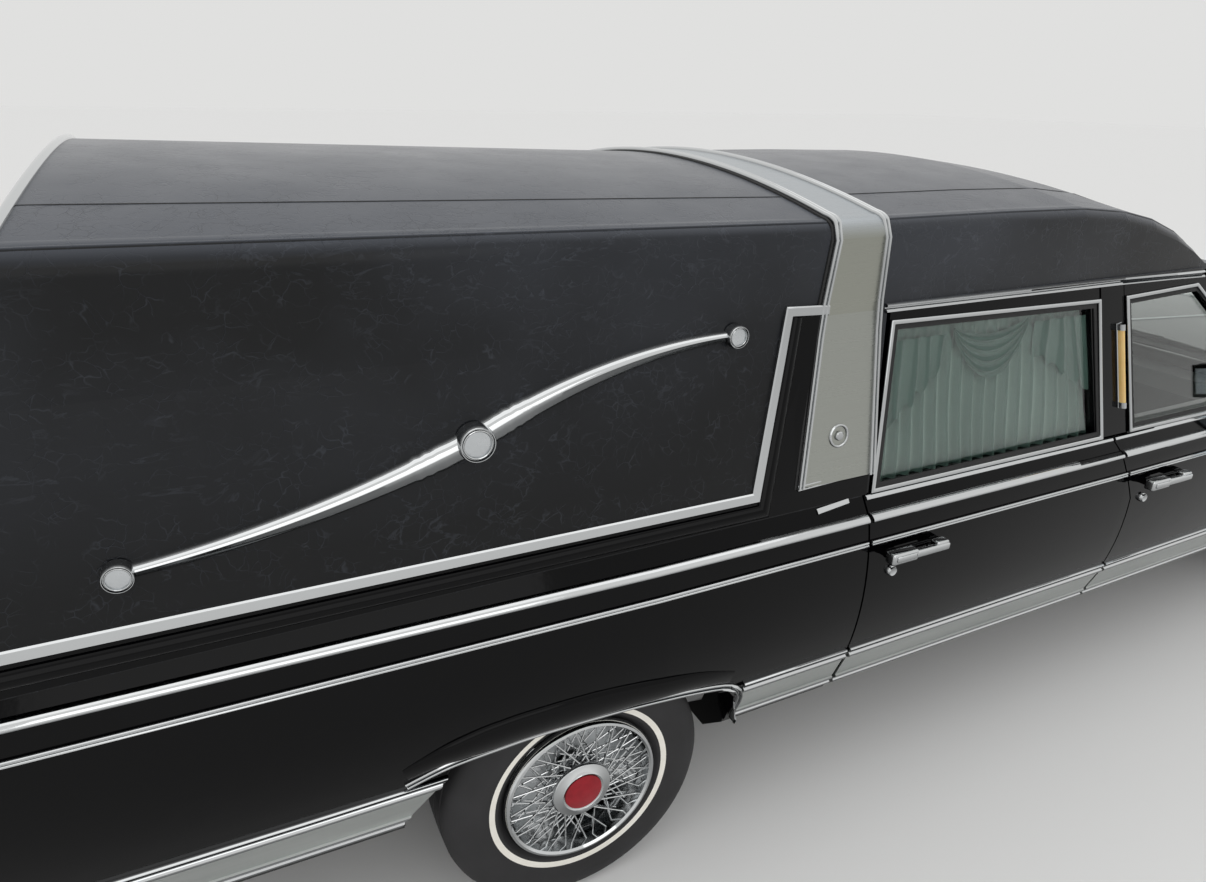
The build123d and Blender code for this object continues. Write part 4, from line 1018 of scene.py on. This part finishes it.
def hang(name, placeAt, grid, carriers, stoodFor=()):  # one cloth for each of its carriers
    columns, rows = grid
    pair = len(carriers) == 2
    cloth = lattice(columns, rows, placeAt)
    pieces = [settle(cloth, name + ("Right" if pair else ""), carriers[0], curtainCloth, 80)]
    if pair:
        pieces.append(mirrorTwin(pieces[0], name + "Left", carriers[1]))
    across = [[placeAt(i / columns, share) for i in range(columns + 1)] for share in (0, 0.5, 1)]
    down = [[placeAt(share, i / rows) for i in range(rows + 1)] for share in (0.02, 0.5, 0.98)]
    width, drop = (max(flatLength(line) for line in lines) for lines in (across, down))
    for piece, carrier, node in zip(pieces, carriers, stoodFor or [None] * len(carriers)):
        if node:
            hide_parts(node)


sideDoors = ("rear_door_right", "rear_door_left")
hang("curtainPanel", panelPlace, curtain["grid"], sideDoors, ("curtain_right", "curtain_left"))
hang("curtainSwag", swagPlace, swag["grid"], sideDoors)
hang("curtainJabotRear", lambda u, v: jabotPlace(u, v, 0.01, 0.27, "rear"), jabot["grid"], sideDoors)
hang("curtainJabotFront", lambda u, v: jabotPlace(u, v, 0.70, 0.985, "front"), jabot["grid"], sideDoors)
loadCurtain = {
    "u": -0.485, "width": 0.97, "v": 0.418, "drop": 0.552, "sink": -0.0715, "depth": 0.0085, "folds": 24,
    "grid": (300, 20),
}


def loadCurtainPlace(u, v):
    fold = math.sin(math.tau * loadCurtain["folds"] * u + 1.2 * math.sin(6 * u))
    out = loadCurtain["sink"] + loadCurtain["depth"] * fold * (0.5 + 0.5 * min(1, 4 * (1 - v)))
    across, up = loadCurtain["u"] + loadCurtain["width"] * u, loadCurtain["v"] + loadCurtain["drop"] * v
    return onRear(across, up, out)


hang("loadCurtain", loadCurtainPlace, loadCurtain["grid"], ("loading_door",), ("loading_door_curtain",))
print("curtains hung")

# Loading door: window frame and seal, belt moulding and pull handle; each area is u0, u1, v0, v1
load = {
    "window": (-0.470, 0.470, 0.430, 0.960), "belt": (-0.592, 0.592, 0.388, 0.410),
    "handle": (0.440, 0.560, 0.330, 0.352),
}
loadFrame = rearPlate(load["window"], -0.001, 0.010, 0.014, 0.003, around=0.016)
settle(loadFrame, "loadWindowFrame", "loading_door", brightChrome)
loadSeal = rearPlate(load["window"], -0.018, 0.004, 0.016, around=0.004)
settle(loadSeal, "loadWindowSeal", "loading_door", sealRubber)
loadBelt = rearPlate(load["belt"], -0.001, 0.008, bevel=0.004)
settle(loadBelt, "loadBeltMoulding", "loading_door", brightChrome)
handleParts = [rearPlate(load["handle"], 0.001, 0.0375, bevel=0.006, around=0.004),
               rearPlate(load["handle"], -0.001, 0.004, around=0.012)]
gather(handleParts, "loadDoorHandle", "loading_door", brightChrome, False)
print("loading door dressed")

# Tail: lamp frames with bars, reverse lamps and a blank plate; each area is y0, y1, z0, z1
tail = {
    "x": -3.096, "lamp": (-0.895, -0.735, 0.640, 0.975), "barZ": (0.745, 0.860), "barHalf": 0.004,
    "reverse": (-0.883, -0.747, 0.651, 0.735), "plateX": -3.160, "plate": (-0.155, 0.155, 0.425, 0.575),
}
y0, y1, z0, z1 = tail["lamp"]
tailParts = [endFrame(tail["x"] + 0.004, -0.010, tail["lamp"], 0.012, around=0.006)]
half = tail["barHalf"]
for z in tail["barZ"]:
    tailParts.append(brick((tail["x"] - half, y0, z - half), (tail["x"] + half, y1, z + half), 0.002))
gather(tailParts, "tailLampFrame", "body", brightChrome)
y0, y1, z0, z1 = tail["reverse"]
reverseLamp = brick((tail["x"] - 0.003, y0, z0), (tail["x"] + 0.004, y1, z1), 0.004)
settlePair(reverseLamp, "reverseLamp", "body", lampGlass)
plate = endFrame(tail["plateX"] - 0.0005, -0.004, tail["plate"], bevel=0.004)
plateFrame = endFrame(tail["plateX"], -0.007, tail["plate"], 0.008, around=0.003)
settle(plate, "blankPlate", "body", whitewallRubber)
settle(plateFrame, "blankPlateFrame", "body", brightChrome)

# Bumpers: black strips and guards
bumper = {
    "strip": (0.447, 0.500), "guard": (0.422, 0.552), "guardY": 0.330, "guardHalf": 0.034,
    "ends": ((0.37, 0.92), (-0.92, -0.37)),
    # Outer face, which way it looks, and the strips between the guards
    "front": (3.159, 1, ((-0.29, 0.29),)), "rear": (-3.159, -1, ((0.17, 0.29), (-0.29, -0.17))),
}
for name in ("front", "rear"):
    x, out, between = bumper[name]
    rubs = [endFrame(x - 0.004 * out, 0.010 * out, (*span, *bumper["strip"]), bevel=0.004)
            for span in bumper["ends"] + between]
    gather(rubs, name + "BumperStrip", "body", sealRubber, False)
    guards = []
    for y in (-bumper["guardY"], bumper["guardY"]):
        area = (y - bumper["guardHalf"], y + bumper["guardHalf"], *bumper["guard"])
        guards.append(endFrame(x + 0.003 * out, 0.008 * out, area, bevel=0.006))
    gather(guards, name + "BumperGuard", "body", sealRubber, False)
print("tail and bumpers dressed")

# Front: grille shell, lamp frames, hood moulding, cowl vent and wipers
nose = {
    "x": 3.060, "grilleX": 3.092, "grille": (-0.300, 0.300, 0.606, 0.940), "crown": 0.040,
    "lamps": ((-0.560, -0.385, 0.735, 0.865), (-0.750, -0.575, 0.735, 0.865), (-0.900, -0.770, 0.640, 0.865)),
    "turnLamp": (-0.745, -0.390, 0.640, 0.712), "bar": (-0.925, 0.925, 0.590, 0.604),
}
y0, y1, z0, z1 = nose["grille"]
crown = brick((nose["x"] - 0.010, y0 - 0.004, z1 - nose["crown"]),
              (nose["grilleX"] + 0.005, y1 + 0.004, z1 + 0.010), 0.008, 4)
shell = [endFrame(nose["grilleX"] - 0.012, 0.016, nose["grille"], 0.020, 0.004, around=0.006), crown]
gather(shell, "grilleShell", "body", brightChrome, False)
bezels = [endFrame(nose["x"] + 0.006, 0.014, area, 0.011, around=0.005) for area in nose["lamps"]]
gather(bezels, "headlampBezels", "body", brightChrome)
turnLamp = endFrame(nose["x"] - 0.001, 0.012, nose["turnLamp"], bevel=0.004)
gather([turnLamp], "frontTurnLamp", "body", amberLens)
settle(endFrame(nose["x"] - 0.002, 0.010, nose["bar"], bevel=0.004), "noseMoulding", "body", brightChrome)
hoodTree = treeOf(["hood"])
hoodTrim = {
    "spear": (1.56, 2.98), "spearWire": 0.006, "lipX": 2.984, "lipY": (-0.69, 0.69), "lipWire": 0.007,
    "step": 0.1, "lift": 0.001, "z": 0.95,
}


def onHood(x, y):
    hit = hoodTree.ray_cast(Vector((x, y, 2)), Vector((0, 0, -1)))[0]
    return x, y, (hit.z if hit else hoodTrim["z"]) + hoodTrim["lift"]


spearLine = [onHood(x, 0) for x in stations(*hoodTrim["spear"], hoodTrim["step"])]
settle(bead(spearLine, hoodTrim["spearWire"]), "hoodSpear", "hood", brightChrome)
lipLine = [onHood(hoodTrim["lipX"], y) for y in stations(*hoodTrim["lipY"], hoodTrim["step"])]
settle(bead(lipLine, hoodTrim["lipWire"]), "hoodLip", "hood", brightChrome)
vent = {"x": 1.392, "pitch": 0.014, "width": 0.007, "half": 0.60, "z": (1.0035, 1.0085), "slats": 5}
slats = []
low, high = vent["z"]
for i in range(vent["slats"]):
    x = vent["x"] + vent["pitch"] * i
    slats.append(brick((x, -vent["half"], low), (x + vent["width"], vent["half"], high), 0.002))
gather(slats, "cowlVent", "body", sealRubber, False)
shieldTree = treeOf(["windshield"])
shield = {
    "inward": (1, 0.98, 0.96, 0.94, 0.92, 0.90, 0.88, 0.86), "x": 1.30, "low": 1.012, "corner": 1.40,
    "top": 1.463,
    "half": 0.80, "topHalf": 0.76, "proud": 0.003, "wire": 0.007,
    "wipers": {"Left": (0.62, 0.06), "Right": (-0.08, -0.66)}, "pivot": (1.435, 1.010),
    "wiperWire": 0.0045,
}


def shieldPoint(y, z, proud):
    for inward in shield["inward"]:  # the glass narrows towards the roof
        hit = shieldTree.ray_cast(Vector((3, y * inward, z)), Vector((-1, 0, 0)))[0]
        if hit:
            return hit + Vector((proud, 0, proud))
    return Vector((shield["x"] + proud, y, z + proud))


for name, (foot, tip) in shield["wipers"].items():
    armLine = [(shield["pivot"][0], foot, shield["pivot"][1]), shieldPoint(foot, 1.030, 0.016),
               shieldPoint((foot + tip) / 2, 1.052, 0.012)]
    bladeLine = [shieldPoint(foot - 0.08, 1.044, 0.006), shieldPoint(tip, 1.062, 0.006)]
    parts = [bead(line, shield["wiperWire"]) for line in (armLine, bladeLine)]
    gather(parts, "wiper" + name, "body", sealRubber, False)
surround = [(-shield["half"], z) for z in stations(shield["low"], shield["corner"], 0.04)]
surround += [(y, shield["top"]) for y in stations(-shield["topHalf"], shield["topHalf"], 0.08)]
surround += [(shield["half"], z) for z in stations(shield["corner"], shield["low"], 0.04)]
surroundBead = bead([shieldPoint(y, z, shield["proud"]) for y, z in surround], shield["wire"])
settle(surroundBead, "windshieldMoulding", "body", brightChrome)
print("front dressed")

# Door mirrors: painted shell with the silvered glass facing back, on a bright arm
mirror = {
    "shell": ((1.046, -1.100, 1.007), (1.144, -0.932, 1.134)),
    "glass": ((1.0435, -1.084, 1.024), (1.0475, -0.948, 1.118)),
    "arm": ((1.080, -0.940, 1.018), (1.140, -0.892, 1.066)),
}
settlePair(brick(*mirror["shell"], 0.022, 5), "mirrorShell", "front_door_right", glossPaint, 60)
settlePair(brick(*mirror["glass"], 0.0015), "mirrorGlass", "front_door_right", mirrorGlass)
settlePair(brick(*mirror["arm"], 0.010, 4), "mirrorArm", "front_door_right", brightChrome)
print("mirrors fitted")

# Front bench: crowned cushion and back with sewn channels, and two headrests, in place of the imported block
seat = {
    "half": 0.688, "channels": 7, "sew": 0.006, "seam": 0.16, "cuts": 11,
    "base": ((0.40, -0.66, 0.394), (0.94, 0.66, 0.460)),
}


def cushion(low, high, crown, lean=0.0, channels=0, bevel=0.035):
    pad = brick(low, high, bevel, 4)
    pick(pad)
    bpy.ops.object.modifier_apply(modifier="edge")
    bpy.ops.object.mode_set(mode="EDIT")
    bpy.ops.mesh.select_all(action="SELECT")
    bpy.ops.mesh.subdivide(number_cuts=seat["cuts"])
    bpy.ops.object.mode_set(mode="OBJECT")
    middle = [(a + b) / 2 for a, b in zip(low, high)]
    half = [(b - a) / 2 for a, b in zip(low, high)]
    thin = min(range(3), key=lambda axis: half[axis])
    broad = [axis for axis in range(3) if axis != thin]
    for vertex in pad.data.vertices:
        share = [(vertex.co[axis] - middle[axis]) / half[axis] for axis in range(3)]
        dome = (1 - share[broad[0]] ** 2) * (1 - share[broad[1]] ** 2)
        push = crown * max(0, dome)
        if channels:  # sewn lines that run across the cushion
            away = math.sin(math.pi * channels * (share[1] + 1) / 2) / seat["seam"]
            push -= seat["sew"] * math.exp(-away ** 2)
        vertex.co[thin] += push * share[thin]
        vertex.co.x -= lean * (vertex.co.z - low[2])
    return pad


half, sewn = seat["half"], seat["channels"]
pads = (("benchCushion", cushion((0.36, -half, 0.455), (0.98, half, 0.605), 0.016, 0, sewn), 0.7),
        ("benchBack", cushion((0.405, -half, 0.600), (0.505, half, 1.100), 0.012, 0.20, sewn), 0.7),
        ("headrestRight", cushion((0.395, -0.505, 1.095), (0.465, -0.255, 1.215), 0.010, 0.20), 0.8),
        ("headrestLeft", cushion((0.395, 0.255, 1.095), (0.465, 0.505, 1.215), 0.010, 0.20), 0.8))
for name, pad, fill in pads:
    piece = settle(pad, name, "body", seatLeather, 60)
    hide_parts("front_seat")
settle(brick(*seat["base"], 0.010), "benchBase", "body", dashPlastic)
print("bench padded")

# Door cards: grained panel, armrest and pull on the inside of each side door
cards = {
    "rear": (-0.725, 0.300), "front": (0.385, 1.470), "low": 0.430, "high": 0.985, "thick": 0.008,
    "y": -0.85,
    "restX": (-0.20, 0.22), "restOut": (0.004, 0.052), "restZ": (0.690, 0.745), "measureZ": 0.72,
    "pullX": (0.26, 0.36), "pullOut": (0.006, 0.024), "pullZ": (0.800, 0.822),
}
cardTree = treeOf(["front_door_right", "rear_door_right"])


def innerY(x, z):  # inner face of the right-hand doors, seen from the cabin
    hit = cardTree.ray_cast(Vector((x, -0.3, z)), Vector((0, -1, 0)))[0]
    return hit.y if hit else cards["y"]


def cardBlock(part, x, y, bevel):
    xs, ys, zs = (cards[part + axis] for axis in ("X", "Out", "Z"))
    return brick((x + xs[0], y + ys[0], zs[0]), (x + xs[1], y + ys[1], zs[1]), bevel, 4)


for door in ("rear", "front"):
    body = f"{door}_door_right"
    start, end = cards[door]
    corners = [Vector((x, innerY(x, z) + 0.0005, z))
               for x, z in grown(start, end, cards["low"], cards["high"], 0.0)]
    card = outline(corners, (0, cards["thick"], 0), bevel=0.003)
    x = (start + end) / 2
    y = innerY(x, cards["measureZ"])
    gather([card, cardBlock("rest", x, y, 0.014)], door + "DoorCard", body, dashPlastic)
    settlePair(cardBlock("pull", x, y, 0.006), door + "InnerPull", body, brightChrome)
print("door cards fitted")

# Dash: hooded instruments behind the wheel; deck: bright skid strips and stop pins
dash = {
    "x": 1.212, "hood": ((1.210, 0.215, 0.852), (1.390, 0.585, 0.982)), "dialY": (0.32, 0.48),
    "dialZ": 0.917,
    "dial": ((0, 0), (0.055, 0), (0.055, 0.006), (0.049, 0.008), (0.045, 0.003), (0, 0.003)),
}
settle(brick(*dash["hood"], 0.022, 4), "instrumentHood", "body", dashPlastic, 60)
rims = []
for y in dash["dialY"]:
    ring = turned(dash["dial"], 40)
    ring.rotation_euler = (0, 0, -math.pi / 2)
    ring.location = (dash["x"], y, dash["dialZ"])
    rims.append(ring)
gather(rims, "instrumentDials", "body", brightChrome, False)
deck = {
    "top": 0.665, "start": -2.80, "end": -0.72, "rows": (-0.12, 0.12, -0.38, 0.38), "stripHalf": 0.015,
    "strip": 0.004,
    "pinX": (-2.60, -2.10, -1.60, -1.10), "pinY": -0.20, "pin": 0.045, "pinRadius": 0.009,
}
skids = []
for y in deck["rows"]:
    y0, y1 = y - deck["stripHalf"], y + deck["stripHalf"]
    low, high = deck["top"] - 0.001, deck["top"] + deck["strip"]
    skids.append(brick((deck["start"], y0, low), (deck["end"], y1, high), 0.003))
gather(skids, "deckSkids", "body", brightChrome, False)
pins = []
for x in deck["pinX"]:
    ends = [(x, deck["pinY"], deck["top"] + rise) for rise in (-0.002, deck["pin"])]
    pins.append(bead(ends, deck["pinRadius"]))
gather(pins, "stopPins", "body", brightChrome)
print("cabin dressed")

# Floor, light and camera
studio = {
    "floor": "#E4E4E3", "backdrop": "#E0E0DF", "worldStrength": 0.95,
    "lamps": {"skyPanel": ((-1.0, 0.5, 6.5), (0, 0, 0), 8.0, 80),
              "sidePanel": ((-2.0, -7.5, 4.0), (1.1, 0, -0.15), 5.0, 60)},
}
studioWhite = finish("paleStudioFloor", None, studio["floor"], 0.85)
feed(studioWhite, "Roughness", ranged(studioWhite, noise(studioWhite, 2.0), 0.8, 0.9))
pick()
bpy.ops.mesh.primitive_plane_add(size=160)
floor = bpy.context.object
floor.name = "studioFloor"
floor.data.materials.append(studioWhite)

world = bpy.data.worlds.new("studio")
bpy.context.scene.world = world
world.use_nodes = True
plain = world.node_tree.nodes["Background"]
plain.inputs["Color"].default_value = hexColour("#FFFFFF")
plain.inputs["Strength"].default_value = studio["worldStrength"]
rays = addNode(world, "ShaderNodeLightPath").outputs
shown = maths(world, "MAXIMUM", rays["Is Camera Ray"], rays["Is Transmission Ray"])
shown = maths(world, "MAXIMUM", shown, rays["Is Glossy Ray"])
backdrop = addNode(world, "ShaderNodeBackground", {"Color": hexColour(studio["backdrop"]), "Strength": 1.0})
mix = addNode(world, "ShaderNodeMixShader", {}, {0: shown, 1: plain.outputs[0], 2: backdrop.outputs[0]})
world.node_tree.links.new(mix.outputs[0], world.node_tree.nodes["World Output"].inputs["Surface"])
for name, (place, turn, size, power) in studio["lamps"].items():
    pick()
    bpy.ops.object.light_add(type="AREA", location=place, rotation=turn)
    light = bpy.context.object
    light.name = name
    light.data.size = size
    light.data.energy = power

view = {
    "place": (-2.215, -2.329, 1.960), "yaw": 0.461, "pitch": 0.393, "roll": 0.021, "lens": 24.65,
    "shift": (0.0015, -0.0058), "sensor": 36,
}
cosYaw, sinYaw = math.cos(view["yaw"]), math.sin(view["yaw"])
cosPitch = math.cos(view["pitch"])
ahead = Vector((sinYaw * cosPitch, cosYaw * cosPitch, -math.sin(view["pitch"])))
level = Vector((cosYaw, -sinYaw, 0))
upward = level.cross(ahead)
across = level * math.cos(view["roll"]) + upward * math.sin(view["roll"])
upward = upward * math.cos(view["roll"]) - level * math.sin(view["roll"])
pick()
bpy.ops.object.camera_add()
camera = bpy.context.object
camera.matrix_world = Matrix((across, upward, -ahead)).transposed().to_4x4()
camera.location = view["place"]
camera.data.sensor_width = view["sensor"]
camera.data.lens = view["lens"]
camera.data.shift_x, camera.data.shift_y = view["shift"]
bpy.context.scene.camera = camera
bpy.context.scene.view_settings.view_transform = "Standard"
print("studio set")
